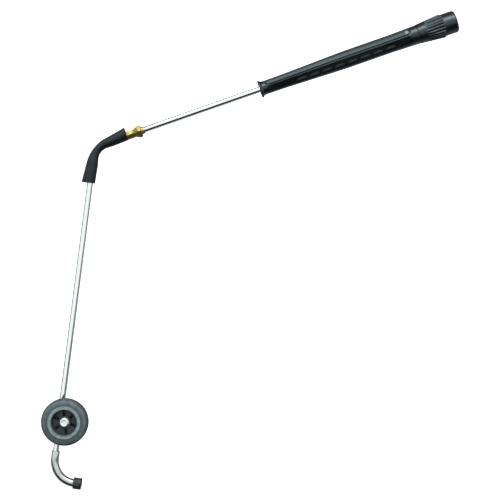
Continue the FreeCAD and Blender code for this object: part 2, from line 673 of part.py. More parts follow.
def nozzle_cap():
    body = turned([(0, CAP_BACK), (CAP_R - 0.8, CAP_BACK), (CAP_R, CAP_BACK + 0.8), (CAP_R, CAP_FRONT - 1.0),
                   (CAP_R - 1.0, CAP_FRONT), (0, CAP_FRONT)])
    groove = cylinder(1.0, CAP_BACK + 1.5, CAP_FRONT - 3, CAP_R + 0.4)
    body = body.cut(around(groove, CAP_GRIPS))
    mouth = turned([(0, ORIFICE_FACE), (CAP_MOUTH_R - 1, ORIFICE_FACE), (CAP_MOUTH_R + 1, CAP_FRONT),
                    (0, CAP_FRONT)])
    return place(body.cut([cylinder(CAP_POCKET_R, CAP_BACK, ORIFICE_FACE), mouth]), NOZZLE)


NODES = {
    "grip_body": grip_body(),
    "grip_screw": grip_screw(),
    "upper_pipe": upper_pipe(),
    "valve_housing": valve_housing(),
    "disc_seal": disc_seal(),
    "fixed_disc": fixed_disc(),
    "turning_disc": turning_disc(),
    "inlet_spindle": inlet_spindle(),
    "spindle_o_rings": spindle_o_rings(),
    "thrust_washer": thrust_washer(),
    "gland_nut": gland_nut(),
    "twist_sleeve": twist_sleeve(),
    "sleeve_clip": sleeve_clip(),
    "inlet_strainer": inlet_strainer(),
    "union_body": union_body(),
    "union_o_ring": union_o_ring(),
    "union_tail": union_tail(),
    "union_nut": union_nut(),
    "lower_pipe": lower_pipe(),
    "elbow_sleeve": elbow_sleeve(),
    "tyre": tyre(),
    "wheel_hub": wheel_hub(),
    "wheel_bush": wheel_bush(),
    "axle_sleeve": axle_sleeve(),
    "axle_bolt": axle_bolt(),
    "axle_washers": axle_washers(),
    "axle_lock_nut": axle_lock_nut(),
    "clamp_front": clamp_half(1),
    "clamp_rear": clamp_half(-1),
    "clamp_screw": clamp_screw(),
    "nozzle_elbow": nozzle_elbow(),
    "nozzle_packing": nozzle_packing(),
    "swirl_core": swirl_core(),
    "orifice_disc": orifice_disc(),
    "nozzle_cap": nozzle_cap(),
}

os.makedirs("parts", exist_ok=True)
for name, shape in NODES.items():
    shape.exportStep(f"parts/{name}.step")
    print(name, len(shape.Solids), round(shape.Volume, 1), shape.isValid())
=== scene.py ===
"""Wheeled sprayer lance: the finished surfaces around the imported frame. Metres, Z up, wheel on the -Y side."""
import json
from math import acos, asin, cos, pi, radians, sin, sqrt, tan

import bmesh
import bpy
from mathutils import Matrix, Vector


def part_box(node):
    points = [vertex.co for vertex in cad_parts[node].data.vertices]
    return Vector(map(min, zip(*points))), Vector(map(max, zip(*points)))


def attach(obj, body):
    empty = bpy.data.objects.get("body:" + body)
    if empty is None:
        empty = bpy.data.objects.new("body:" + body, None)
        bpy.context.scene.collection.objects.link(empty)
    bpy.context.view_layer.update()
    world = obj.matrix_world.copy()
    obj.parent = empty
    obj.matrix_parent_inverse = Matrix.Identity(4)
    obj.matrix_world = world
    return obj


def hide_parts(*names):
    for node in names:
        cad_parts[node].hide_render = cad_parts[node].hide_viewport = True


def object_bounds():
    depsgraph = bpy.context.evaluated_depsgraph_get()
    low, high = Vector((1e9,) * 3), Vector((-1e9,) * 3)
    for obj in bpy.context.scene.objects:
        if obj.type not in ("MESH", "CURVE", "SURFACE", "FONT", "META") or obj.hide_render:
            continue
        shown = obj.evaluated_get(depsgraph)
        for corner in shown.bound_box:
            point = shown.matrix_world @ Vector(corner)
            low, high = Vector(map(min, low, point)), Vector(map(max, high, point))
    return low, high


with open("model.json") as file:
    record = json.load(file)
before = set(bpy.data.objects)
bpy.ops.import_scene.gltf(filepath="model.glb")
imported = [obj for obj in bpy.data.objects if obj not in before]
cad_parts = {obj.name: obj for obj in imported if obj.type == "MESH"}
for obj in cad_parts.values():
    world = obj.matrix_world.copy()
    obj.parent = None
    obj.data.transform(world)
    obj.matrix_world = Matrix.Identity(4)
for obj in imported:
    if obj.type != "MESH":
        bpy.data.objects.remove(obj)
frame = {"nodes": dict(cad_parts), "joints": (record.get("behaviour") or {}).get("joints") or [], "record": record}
cad_low, cad_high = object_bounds()

# Studio ---------------------------------------------------
# A white paper sweep, one long softbox in front and above, a weak lamp behind, and white walls that show
# only in reflections. They are dark from below the lance up to the camera's height, which gives polished
# tube its dark lower line.

MM = 0.001
VIEW_WIDE = 860 * MM
VIEW_DISTANCE = 2.07
VIEW_OFFSET = Vector((-2.15, 0, 0.73)) * MM
SENSOR = 36.0
FLOOR_DROP = 260 * MM
SWEEP_FRONT, SWEEP_CURVE_AT, SWEEP_CURVE_R, SWEEP_HIGH, SWEEP_HALF = -7.0, 3.0, 2.0, 8.0, 9.0
SWEEP_STEPS = 12
# the walls' level by turn about the X axis: from behind, through below, in front and overhead, to behind
ROOM = ((0.0, 0.1), (0.05, 0.3), (0.13, 0.65), (0.25, 0.35), (0.29, 0.01), (0.43, 0.01), (0.472, 1.25),
        (0.68, 1.3), (0.72, 0.28), (0.8, 0.2), (1.0, 0.07))
ROOM_RED = 0.94                 # the walls' red against their green and blue


def hex_colour(code):
    """An sRGB hex colour as linear values."""
    parts = [int(code[i:i + 2], 16) / 255 for i in (1, 3, 5)]
    return [c / 12.92 if c <= 0.04045 else ((c + 0.055) / 1.055) ** 2.4 for c in parts] + [1.0]


def wire(tree, node, inputs):
    """Sets a node's inputs, each to a value, a hex colour, a node's output or a node's first output."""
    for key, value in inputs.items():
        if isinstance(value, bpy.types.Node):
            value = value.outputs[0]
        if isinstance(value, bpy.types.NodeSocket):
            tree.links.new(value, node.inputs[key])
        else:
            node.inputs[key].default_value = hex_colour(value) if isinstance(value, str) else value
    return node


def add_node(tree, kind, inputs=None, stops=(), **settings):
    """Adds a node with its settings and inputs and, for a colour ramp, its stops: positions and colours."""
    node = tree.nodes.new(kind)
    for key, value in settings.items():
        setattr(node, key, value)
    for _ in stops[2:]:
        node.color_ramp.elements.new(0.5)
    for i, (spot, colour) in enumerate(stops):
        node.color_ramp.elements[i].position = spot
        node.color_ramp.elements[i].color = hex_colour(colour) if isinstance(colour, str) else colour
    return wire(tree, node, inputs or {})


def link_to_scene(name, data):
    thing = bpy.data.objects.new(name, data)
    bpy.context.scene.collection.objects.link(thing)
    return thing


view_middle = (cad_low + cad_high) / 2 + VIEW_OFFSET
camera = link_to_scene("camera", bpy.data.cameras.new("camera"))
camera.location = (view_middle.x, -VIEW_DISTANCE, view_middle.z)
camera.rotation_euler = (pi / 2, 0, 0)
camera.data.sensor_width = SENSOR
camera.data.lens = SENSOR * VIEW_DISTANCE / VIEW_WIDE
bpy.context.scene.camera = camera
bpy.context.scene.view_settings.view_transform = "Standard"

floor_z = cad_low.z - FLOOR_DROP
sweep_line = [(SWEEP_FRONT, floor_z), (SWEEP_CURVE_AT, floor_z)]
for i in range(1, SWEEP_STEPS + 1):
    a = pi / 2 * i / SWEEP_STEPS
    sweep_line.append((SWEEP_CURVE_AT + SWEEP_CURVE_R * sin(a), floor_z + SWEEP_CURVE_R * (1 - cos(a))))
sweep_line.append((SWEEP_CURVE_AT + SWEEP_CURVE_R, floor_z + SWEEP_HIGH))
sweep = bpy.data.meshes.new("paper_sweep")
sweep.from_pydata([(x, y, z) for y, z in sweep_line for x in (-SWEEP_HALF, SWEEP_HALF)], [],
                  [(2 * i, 2 * i + 1, 2 * i + 3, 2 * i + 2) for i in range(len(sweep_line) - 1)])
sweep.shade_smooth()
paper = bpy.data.materials.new("matt white paper")
paper.use_nodes = True
wire(paper.node_tree, paper.node_tree.nodes["Principled BSDF"], {
    "Base Color": "#f2f2f2", "Roughness": 0.9, "Specular IOR Level": 0.0, "Emission Color": "#ffffff",
    "Emission Strength": 0.72})
sweep.materials.append(paper)
floor = link_to_scene("paper_sweep", sweep)
floor.visible_glossy = False
floor.visible_diffuse = False

world = bpy.data.worlds.new("studio")
bpy.context.scene.world = world
world.use_nodes = True
tree = world.node_tree
tree.nodes.clear()
ray = add_node(tree, "ShaderNodeSeparateXYZ", {0: add_node(tree, "ShaderNodeTexCoord").outputs["Generated"]})
front = add_node(tree, "ShaderNodeMath", {0: ray.outputs["Y"], 1: -1.0}, operation="MULTIPLY")
turn = add_node(tree, "ShaderNodeMath", {0: ray.outputs["Z"], 1: front}, operation="ARCTAN2")
turn = add_node(tree, "ShaderNodeMapRange", {0: turn, 1: -pi, 2: pi})
room = add_node(tree, "ShaderNodeValToRGB", {0: turn},
                [(spot, (level * ROOM_RED, level, level, 1)) for spot, level in ROOM])
surround = add_node(tree, "ShaderNodeBackground", {"Color": room, "Strength": 1.0})
backdrop = add_node(tree, "ShaderNodeBackground", {"Color": "#ffffff", "Strength": 1.0})
seen = add_node(tree, "ShaderNodeLightPath").outputs["Is Camera Ray"]
both = add_node(tree, "ShaderNodeMixShader", {0: seen, 1: surround, 2: backdrop})
add_node(tree, "ShaderNodeOutputWorld", {"Surface": both})

for name, offset, wide, deep, watts in (("softbox", (0, -1.2, 1.7), 2.2, 0.85, 42),
                                        ("behind_left", (-1.6, 1.0, 1.2), 1.0, 1.0, 8)):
    lamp = link_to_scene(name, bpy.data.lights.new(name, "AREA"))
    lamp.data.shape, lamp.data.size, lamp.data.size_y, lamp.data.energy = "RECTANGLE", wide, deep, watts
    lamp.location = view_middle + Vector(offset)
    lamp.rotation_euler = Vector(offset).to_track_quat("Z", "Y").to_euler()

# Upper pipe -----------------------------------------------
# A straight 10 mm tube of drawn stainless steel, polished, from the union into the valve housing.

WHEEL_SIDE = Vector((0, -1, 0))
BACK = Vector(next(m for m in frame["record"]["mounts"] if m["name"] == "hose_thread")["axis"]).normalized()
PIPE_R = 5.0
PIPE_WALL = 1.0


def axis_frame(origin, z_axis, x_axis):
    turn = Matrix((x_axis, z_axis.cross(x_axis), z_axis)).transposed().to_4x4()
    return Matrix.Translation(origin) @ turn


def reach(node, where):
    """The first and last station of a frame node along a local frame's axis, in mm."""
    back = where.inverted()
    stations = [(back @ v.co).z / MM for v in frame["nodes"][node].data.vertices]
    return min(stations), max(stations)


def new_material(name, inputs, noises, tones=(), rough=(), bump=()):
    """A material patterned by noises in object space, each a size in mm, a detail and a distortion. The first
    one's level gives the colour, through stops, and the roughness, through a map range. The last one makes
    a bump of a strength and a height in mm."""
    material = bpy.data.materials.new(name)
    material.use_nodes = True
    tree = material.node_tree
    shader = wire(tree, tree.nodes["Principled BSDF"], inputs)
    place = add_node(tree, "ShaderNodeTexCoord").outputs["Object"]
    levels = [add_node(tree, "ShaderNodeTexNoise", {
        "Vector": place, "Scale": 1 / (size * MM), "Detail": detail, "Distortion": distortion})
        for size, detail, distortion in noises]
    if tones:
        wire(tree, shader, {"Base Color": add_node(tree, "ShaderNodeValToRGB", {0: levels[0]}, tones)})
    if rough:
        rough = add_node(tree, "ShaderNodeMapRange", {0: levels[0], **dict(enumerate(rough, 1))})
        wire(tree, shader, {"Roughness": rough})
    if bump:
        strength, height = bump
        wire(tree, shader, {"Normal": add_node(tree, "ShaderNodeBump", {
            "Height": levels[-1], "Strength": strength, "Distance": height * MM})})
    return material


def add_lines(material, around, along, detail, strength, height):
    """Bumps a material with noise in a turned piece's own map, of sizes in mm around and along it."""
    tree = material.node_tree
    own_map = add_node(tree, "ShaderNodeUVMap", uv_map="around_along")
    own_map = add_node(tree, "ShaderNodeMapping", {
        "Vector": own_map, "Scale": (1 / (around * MM), 1 / (along * MM), 1)})
    lines = add_node(tree, "ShaderNodeTexNoise", {"Vector": own_map, "Scale": 1.0, "Detail": detail})
    wire(tree, tree.nodes["Principled BSDF"], {"Normal": add_node(tree, "ShaderNodeBump", {
        "Height": lines, "Strength": strength, "Distance": height * MM})})


def close_mesh(name, bm, material, crease=32):
    """Turns a bmesh into a linked piece with its faces outwards and only its real edges sharp."""
    bmesh.ops.recalc_face_normals(bm, faces=bm.faces)
    mesh = bpy.data.meshes.new(name)
    bm.to_mesh(mesh)
    bm.free()
    mesh.shade_smooth()
    mesh.set_sharp_from_angle(angle=radians(crease))
    mesh.materials.append(material)
    return link_to_scene(name, mesh)


def skin(name, rings, material, closed=False, crease=32):
    """A mesh over rings of points in metres. Its UV map gives metres around and along."""
    bm = bmesh.new()
    layer = bm.loops.layers.uv.new("around_along")
    made = [[bm.verts.new(p) for p in ring] for ring in rings]
    count = len(rings[0])
    along = [0.0]
    for one, two in zip(rings, rings[1:] + rings[:1]):
        along.append(along[-1] + (Vector(one[0]) - Vector(two[0])).length)
    wide = sum((Vector(rings[0][i - 1]) - Vector(rings[0][i])).length for i in range(count)) / count
    for k in range(len(made) if closed else len(made) - 1):
        one, two = made[k], made[(k + 1) % len(made)]
        for i in range(count):
            j = (i + 1) % count
            face = bm.faces.new((one[i], one[j], two[j], two[i]))
            spots = ((i, k), (i + 1, k), (i + 1, k + 1), (i, k + 1))
            for loop, (u, v) in zip(face.loops, spots):
                loop[layer].uv = (u * wide, along[v])
    if not closed:
        bm.faces.new(made[0])
        bm.faces.new(made[-1])
    return close_mesh(name, bm, material, crease)


def eased(outline, size, closed, steps=3):
    """An outline of (radius, station) points with its corners rounded."""
    line = [Vector(p) for p in outline]
    result = []
    for i, here in enumerate(line):
        if not closed and i in (0, len(line) - 1):
            result.append(here)
            continue
        one, two = line[i - 1] - here, line[(i + 1) % len(line)] - here
        if one.angle(two, 0) > radians(176):
            result.append(here)
            continue
        cut = min(size, one.length * 0.4, two.length * 0.4)
        start, end = here + one.normalized() * cut, here + two.normalized() * cut
        for step in range(steps + 1):
            t = step / steps
            result.append((1 - t) ** 2 * start + 2 * t * (1 - t) * here + t ** 2 * end)
    return result


def polar(r, a, z):
    """A point in metres from a radius, an angle and a station in mm."""
    return Vector((r * cos(a), r * sin(a), z)) * MM


def turned(name, outline, where, material, solid=False, sides=96, ease=0.3, shape=lambda r, z, a: r):
    """A piece turned about a local frame's axis, its outline in mm. A solid piece's outline is open, from one
    end's middle to the other's. Shape may change the radius by radius, station and angle."""
    turns = [2 * pi * i / sides for i in range(sides)]
    rings = [[where @ polar(shape(r, z, a), a, z) for a in turns] for r, z in eased(outline, ease, not solid)]
    return skin(name, rings, material, closed=not solid)


def piece_of(piece, body, slot, *nodes):
    """Fixes a finished piece to its body and hides the frame nodes it stands for. Its slot is not used."""
    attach(piece, body)
    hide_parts(*nodes)


# Stainless steel, 1.4301, cold drawn and polished: bright, with faint lines left along the tube by drawing.
# The lines are 0.4 mm apart, several times coarser than real, so that they show.
stainless = new_material("stainless steel, drawn and polished", {"Base Color": "#dfe1e1", "Metallic": 1.0},
                         [(14, 3, 0)], rough=(0.3, 0.7, 0.07, 0.16))
add_lines(stainless, 0.4, 60, 2, 0.25, 0.004)

OUTWARD = Vector((-BACK.z, 0, BACK.x))      # from the upper pipe, away from the bend's middle
UPPER = axis_frame(Vector(), BACK, OUTWARD)
start, end = reach("upper_pipe", UPPER)
upper_pipe = turned("upper_lance_pipe", [(PIPE_R, start), (PIPE_R, end), (PIPE_R - PIPE_WALL, end),
                                         (PIPE_R - PIPE_WALL, start)], UPPER, stainless, ease=0.15)
piece_of(upper_pipe, "lance", "stainless_tube", "upper_pipe")

# Lower pipe -----------------------------------------------
# The same tube, bent once near the union, down to the nozzle. Its line is found from the wheel axle.

LOWER_TILT = radians(7.26)
AXLE_FROM_CORNER = 471.5
AXLE_OFFSET = 12.0
BEND_R = 39.0
BEND_STEPS = 32
HOOP_SIDES = 96

DOWN = Vector((-sin(LOWER_TILT), 0, -cos(LOWER_TILT)))
INWARD = Vector((-DOWN.z, 0, DOWN.x))
axle_spot = Vector(next(j for j in frame["joints"] if j["name"] == "wheel_spin")["pos_m"])
corner = axle_spot - (DOWN * AXLE_FROM_CORNER + INWARD * AXLE_OFFSET) * MM
corner.y = 0
LOWER = axis_frame(corner, DOWN, INWARD)
bend_turn = BACK.angle(DOWN * -1)
tangent = BEND_R * tan(bend_turn / 2)
corner_station = -corner.length / MM
bend_middle = corner + (DOWN * tangent + INWARD * BEND_R) * MM


def bend_outward(part):
    """The direction away from the bend's middle, part of the way round from the upper pipe to the lower."""
    return (Matrix.Rotation(-bend_turn * part, 3, "Y") @ OUTWARD).normalized()


def hoop(centre, out, r):
    """A ring of points in metres, of a radius in mm, from a direction towards the wheel's side."""
    turns = [2 * pi * i / HOOP_SIDES for i in range(HOOP_SIDES)]
    return [centre + (out * cos(a) + WHEEL_SIDE * sin(a)) * r * MM for a in turns]


bend_parts = [i / BEND_STEPS for i in range(BEND_STEPS + 1)]
line = [(BACK * t * MM, OUTWARD) for t in (reach("lower_pipe", UPPER)[1], corner_station + tangent)]
line += [(bend_middle + out * BEND_R * MM, out) for out in map(bend_outward, bend_parts[1:-1])]
line += [(corner + DOWN * t * MM, -INWARD) for t in (tangent, reach("lower_pipe", LOWER)[1])]
rings = [hoop(c, out, PIPE_R) for c, out in line] + [hoop(c, out, PIPE_R - PIPE_WALL) for c, out in line[::-1]]
piece_of(skin("lower_lance_pipe", rings, stainless, closed=True), "lance", "stainless_tube", "lower_pipe")

# Union ----------------------------------------------------
# Brass: a hexagon body brazed on the lower pipe, a tail on the upper pipe and a wide nut that draws them
# together on an O-ring. Turned from hexagon bar, so every corner is cut back by a cone.

UNION_HEX = 14.0
UNION_NUT_HEX = 20.0
UNION_THREAD_R = 6.5
UNION_NECK_R = 6.45
UNION_HEX_LONG = 12.0
UNION_COLLAR = 1.4              # how far the hexagon runs on towards the elbow sleeve
UNION_SOCKET_DEEP = 10.0
NUT_NOSE_LONG = 4.5
NUT_HEX_LONG = 7.5
NUT_THREAD_STOP = 4.0           # from the nut's inner thread to its hexagon's rear face
BEVEL_SLOPE = 0.55              # length of a corner's cone against its depth


def mix(a, b, part):
    return a + (b - a) * part


def ramp(start, end, count=6):
    """Outline points between two, both included, for a cone that a hexagon's flats cut."""
    return [[mix(a, b, i / count) for a, b in zip(start, end)] for i in range(count + 1)]


def hexagon(flats, start=-1e3, end=1e3):
    """A shape that cuts the radius back to a hexagon's flats, which lie at multiples of 60 degrees."""
    def shape(r, z, a):
        off = (a + pi / 6) % (pi / 3) - pi / 6
        return min(r, flats / 2 / cos(off)) if start <= z <= end else r
    return shape


def hexagon_outline(flats, start, end, chamfer):
    """The outer outline of a hexagon bar whose corners are turned off at both ends."""
    corner_r = flats / sqrt(3) - 0.12
    low = flats / 2 - chamfer
    rise = (corner_r - low) * BEVEL_SLOPE
    return ramp((low, start), (corner_r, start + rise)) + ramp((corner_r, end - rise), (low, end))


# Free-cutting brass, machined and handled: yellow dulled to olive, with fine turning rings. The rings are
# 0.5 mm apart, coarser than real, so that they show.
brass = new_material("brass, turned and polished", {"Metallic": 1.0}, [(5, 4, 0)],
                     ((0.35, "#8a7636"), (0.65, "#ada06a")), (0.3, 0.7, 0.52, 0.42))
add_lines(brass, 40, 0.5, 1, 0.3, 0.01)

front, face = reach("union_body", UPPER)
hex_rear = front + UNION_HEX_LONG
front -= UNION_COLLAR
outline = hexagon_outline(UNION_HEX, front, hex_rear, 0.3)
outline += [(UNION_THREAD_R, hex_rear), (UNION_THREAD_R, face), (PIPE_R - PIPE_WALL, face),
            (PIPE_R - PIPE_WALL, front + UNION_SOCKET_DEEP), (PIPE_R + 0.02, front + UNION_SOCKET_DEEP),
            (PIPE_R + 0.02, front)]
union_body = turned("union_body_hexagon", outline, UPPER, brass, sides=144, ease=0.25,
                    shape=hexagon(UNION_HEX))
piece_of(union_body, "lance", "brass_union", "union_body")

front, rear = reach("union_nut", UPPER)
hex_front, hex_back = front + NUT_NOSE_LONG, front + NUT_NOSE_LONG + NUT_HEX_LONG
outline = [(UNION_THREAD_R + 1.4, front), (UNION_NUT_HEX / 2 - 1, hex_front)]
outline += hexagon_outline(UNION_NUT_HEX, hex_front, hex_back, 0.6)
thread_stop = hex_back - NUT_THREAD_STOP
outline += [(UNION_NECK_R, hex_back), (UNION_NECK_R, rear), (PIPE_R + 0.1, rear), (PIPE_R + 0.1, thread_stop),
            (UNION_THREAD_R + 0.05, thread_stop), (UNION_THREAD_R + 0.05, front)]
union_nut = turned("union_nut_wide", outline, UPPER, brass, sides=144, ease=0.35,
                   shape=hexagon(UNION_NUT_HEX))
piece_of(union_nut, "lance", "brass_union", "union_nut")


def dress(material, *nodes):
    """Gives frame nodes whose shape is right their real finish."""
    for node in nodes:
        for holder in frame["nodes"][node].material_slots:
            holder.material = material


# Nitrile rubber, moulded: soft black with a slight sheen.
nitrile = new_material("nitrile rubber, moulded", {"Base Color": "#232425", "Roughness": 0.55}, [(0.6, 2, 0)],
                       bump=(0.2, 0.02))
dress(nitrile, "union_o_ring", "disc_seal", "spindle_o_rings", "nozzle_packing")
dress(brass, "union_tail")

# Elbow sleeve ---------------------------------------------
# A thick boot of EPDM rubber, moulded to shape and pushed over the bend; square-cut ends with a crisp lip.

BOOT_TOP = Vector((11.5, 3.6))      # radius and shift towards the outside of the bend
BOOT_NECK = Vector((9.0, -0.3))
BOOT_BEND = Vector((7.2, 0.0))
BOOT_HEEL = Vector((10.0, -0.05))
BOOT_BOTTOM = Vector((11.75, 3.2))
BOOT_LIP = 0.5
BOOT_STEPS = 24
BOOT_SOFTEN = 30                    # rounds of smoothing where its straight lengths meet the bend


def smooth_row(values, rounds):
    """A row of values with its kinks softened, its two ends kept."""
    for _ in range(rounds):
        between = [(a + 2 * b + c) / 4 for a, b, c in zip(values, values[1:], values[2:])]
        values = values[:1] + between + values[-1:]
    return values


boot_top = reach("elbow_sleeve", UPPER)[1]
boot_bottom = reach("elbow_sleeve", LOWER)[1]
spine, sizes = [], []
for i in range(BOOT_STEPS):
    part = i / BOOT_STEPS
    spine.append((BACK * mix(boot_top, corner_station + tangent, part) * MM, OUTWARD))
    sizes.append(BOOT_TOP.lerp(BOOT_NECK, part))
for part in bend_parts:
    out = bend_outward(part)
    spine.append((bend_middle + out * BEND_R * MM, out))
    sizes.append(BOOT_BEND.lerp(BOOT_NECK if part < 0.5 else BOOT_HEEL, (2 * part - 1) ** 2))
for i in range(1, BOOT_STEPS + 1):
    part = i / BOOT_STEPS
    spine.append((corner + DOWN * mix(tangent, boot_bottom, part) * MM, -INWARD))
    sizes.append(BOOT_HEEL.lerp(BOOT_BOTTOM, part))
radii, shifts = (smooth_row(list(row), BOOT_SOFTEN) for row in zip(*sizes))
outer = [(c + out * shift * MM, out, r) for (c, out), r, shift in zip(spine, radii, shifts)]
boot_rings = [hoop(c, out, r - BOOT_LIP) for c, out, r in outer[:1]] + [hoop(*row) for row in outer]
boot_rings += [hoop(c, out, r - BOOT_LIP) for c, out, r in outer[-1:]]
boot_rings += [hoop(c, out, PIPE_R + 0.1) for c, out in spine[::-1]]

# EPDM rubber, moulded: matt black with a blue-grey bloom where light grazes it.
epdm = new_material("EPDM rubber, moulded", {
    "Specular IOR Level": 0.38, "Specular Tint": "#dff2fa", "Sheen Weight": 0.05, "Sheen Roughness": 0.4,
    "Sheen Tint": "#b9c6cf"}, [(9, 5, 0), (0.9, 2, 0)], ((0.3, "#0a0c0d"), (0.7, "#121517")),
    (0.3, 0.7, 0.42, 0.52), (0.35, 0.05))
piece_of(skin("elbow_boot", boot_rings, epdm, closed=True), "lance", "rubber_boot", "elbow_sleeve")

# Hand grip ------------------------------------------------
# One long polypropylene moulding: a thin flange in front, a round-ended panel inside a groove along each
# side, a rib below each panel and a lower half stepped back in a row of finger arches.

GRIP_LINE = ((12.6, -145.5), (11.85, -141), (12.2, -105), (13.5, -55), (14.6, -20), (15.2, 5), (15.2, 92),
             (16.3, 137))
GRIP_BORE = ((12.1, 137), (12.1, 94), (11.4, 94), (11.4, 5), (9.3, 5), (9.3, -60), (7.8, -60), (7.8, -138),
             (5.1, -138), (5.1, -150))
GRIP_REAR_EDGE = (16.05, 137)
FLANGE = ((14.6, -150), (15.2, -149.5), (15.2, -148.6), (14.3, -147.2))
GRIP_R = 15.2
PANEL_FRONT, PANEL_REAR = -138.0, 124.0
PANEL_HALF = 4.8                # to the middle of the groove around it
PANEL_ANGLE = radians(60)       # from the top of the grip to the panel's middle
GROOVE_HALF, GROOVE_DEEP = 1.55, 1.7
GROOVE_OUT, GROOVE_IN, RIB_END = 6.4, 3.3, 9.0      # from the panel's middle, where rows of points gather
FLAT_EASE = (0.4, 1.6)          # inside the groove, where the panel's flat face fades in
RIB_AT, RIB_HALF, RIB_HIGH = 7.5, 1.8, 1.0
FADE_OUT, FADE_IN = 2.0, 8.0    # past the panel's ends and inside them, where rib and undercut fade
UNDERCUT = 1.1                  # how far the side falls back between the rib and the arches
ARCH_FIRST, ARCH_PITCH, ARCHES = -75.0, 22.9, 8
ARCH_TOP, ARCH_CUSP, ARCH_LOW = radians(113), radians(135), radians(160)
ARCH_DEEP, ARCH_EDGE = 2.4, radians(2.0)
GRIP_NECK, NECK_STEP, NECK_ROWS = -144.5, 0.8, 7        # rows of points from the flange to the panel
END_OUT, END_STEP, END_ROWS = 1.5, 0.4, 18              # over each round end of the panel
BODY_IN, BODY_STEP, BODY_ROWS = 7.0, 1.43, 174          # and along it


def grip_radius(t):
    for (r0, z0), (r1, z1) in zip(GRIP_LINE, GRIP_LINE[1:]):
        if t <= z1:
            return mix(r0, r1, (t - z0) / (z1 - z0))
    return GRIP_LINE[-1][0]


def soft_step(value, low, high):
    part = min(1.0, max(0.0, (value - low) / (high - low)))
    return part * part * (3 - 2 * part)


def arch_at(t):
    """The angle where the scooped lower half begins at a station, and how deep the scoop is below it."""
    first = ARCH_FIRST - ARCH_PITCH / 2
    last = first + ARCH_PITCH * ARCHES
    if not first < t < last:
        return ARCH_CUSP, 0.0
    q = abs(((t - first) / ARCH_PITCH) % 1.0 * 2 - 1)
    return mix(ARCH_TOP, ARCH_CUSP, 1 - sqrt(max(0.0, 1 - q ** 2.2))), ARCH_DEEP * (1 - q ** 4)


def bump_at(distance, half):
    """A smooth hump: 1 at no distance and 0 from half a width on."""
    return max(0.0, 1 - (distance / half) ** 2) ** 2


def grip_surface(t, a, r):
    """The radius at a station and an angle from the grip's top."""
    across = (a - PANEL_ANGLE) * GRIP_R
    beyond = max(0.0, t - (PANEL_REAR - PANEL_HALF), PANEL_FRONT + PANEL_HALF - t)
    outside = sqrt(across ** 2 + beyond ** 2) - PANEL_HALF
    flat_half = PANEL_HALF - GROOVE_HALF / 2
    radius = r
    if outside < 0 and abs(across) < flat_half:
        flat = sqrt(1 - (flat_half / GRIP_R) ** 2) / cos(across / GRIP_R) * r
        radius = mix(r, flat, soft_step(-outside, *FLAT_EASE))
    radius -= GROOVE_DEEP * bump_at(outside, GROOVE_HALF)
    run_out = soft_step(t, PANEL_FRONT - FADE_OUT, PANEL_FRONT + FADE_IN)
    run_out *= 1 - soft_step(t, PANEL_REAR - FADE_IN, PANEL_REAR + FADE_OUT)
    radius += RIB_HIGH * run_out * bump_at(across - RIB_AT, RIB_HALF)
    rib_angle = PANEL_ANGLE + RIB_AT / GRIP_R
    radius -= UNDERCUT * run_out * (soft_step(a, rib_angle, ARCH_TOP) - soft_step(a, ARCH_TOP, ARCH_LOW))
    border, deep = arch_at(t)
    if a > border - ARCH_EDGE:
        down = min(1.0, max(0.0, (a - border) / (ARCH_LOW - border)))
        radius -= deep * (1 - down) ** 1.7 * soft_step(a, border - ARCH_EDGE, border + ARCH_EDGE)
    return radius


def grip_angles(t):
    """Angles down one side of the grip, closest where its surface changes."""
    border = arch_at(t)[0]
    across = ((-GROOVE_OUT, 5), (-GROOVE_IN, 10), (GROOVE_IN, 10), (RIB_END, 22))
    spans = [(PANEL_ANGLE + away / GRIP_R, count) for away, count in across]
    spans += [(border - ARCH_EDGE, 4), (border + ARCH_EDGE, 5), (ARCH_LOW, 12), (pi, 5)]
    angles = [0.0]
    for end, count in spans:
        start = angles[-1]
        angles += [mix(start, end, (i + 1) / count) for i in range(count)]
    return angles


def row_of(start, step, count):
    return [start + step * i for i in range(count)]


def grip_ring(t, r):
    side = [(grip_surface(t, a, r), a) for a in grip_angles(t)]
    return [UPPER @ polar(radius, a, t) for radius, a in side + [(k, -a) for k, a in side[-2:0:-1]]]


stations = [GRIP_LINE[0][1], 126.5, 130, 133, 135, 136.5] + row_of(GRIP_NECK, NECK_STEP, NECK_ROWS)
stations += row_of(PANEL_FRONT - END_OUT, END_STEP, END_ROWS)
stations += row_of(PANEL_REAR + END_OUT, -END_STEP, END_ROWS)
stations += row_of(PANEL_FRONT + BODY_IN, BODY_STEP, BODY_ROWS)
rings = [grip_ring(z, r) for r, z in FLANGE]
rings += [grip_ring(t, grip_radius(t)) for t in sorted(set(round(t, 3) for t in stations))]
rings.append(grip_ring(GRIP_REAR_EDGE[1], GRIP_REAR_EDGE[0]))
ways = [(UPPER.inverted() @ point).xy.normalized() for point in rings[-1]]
rings += [[UPPER @ (Vector((*(way * r), z)) * MM) for way in ways] for r, z in GRIP_BORE]

# Polypropylene, moulded in a spark-eroded tool: charcoal black with a fine dry texture, polished a little
# by the hand. The texture is 0.8 mm coarse here, several times the real grain, so that it shows.
polypropylene = new_material("polypropylene, moulded with a fine texture", {
    "Specular IOR Level": 0.6, "Specular Tint": "#dcf4ff"}, [(22, 4, 0), (0.8, 2, 0)],
    ((0.3, "#0d0f10"), (0.7, "#151819")), (0.3, 0.7, 0.28, 0.36), (0.3, 0.04))
piece_of(skin("grip_moulding", rings, polypropylene, closed=True, crease=45), "lance", "black_polypropylene",
         "grip_body")

# Grip screw -----------------------------------------------
# The screw that holds the grip to the valve housing, with a plain domed cap over its head.

SCREW_AT, SCREW_ANGLE = 118.5, radians(57)
SCREW_HEAD_R, SCREW_DOME_R, SCREW_R, SCREW_DEEP = 3.65, 1.8, 2.0, 2.0
SCREW_TOP = 15.35
SCREW_SEAT = 13.8
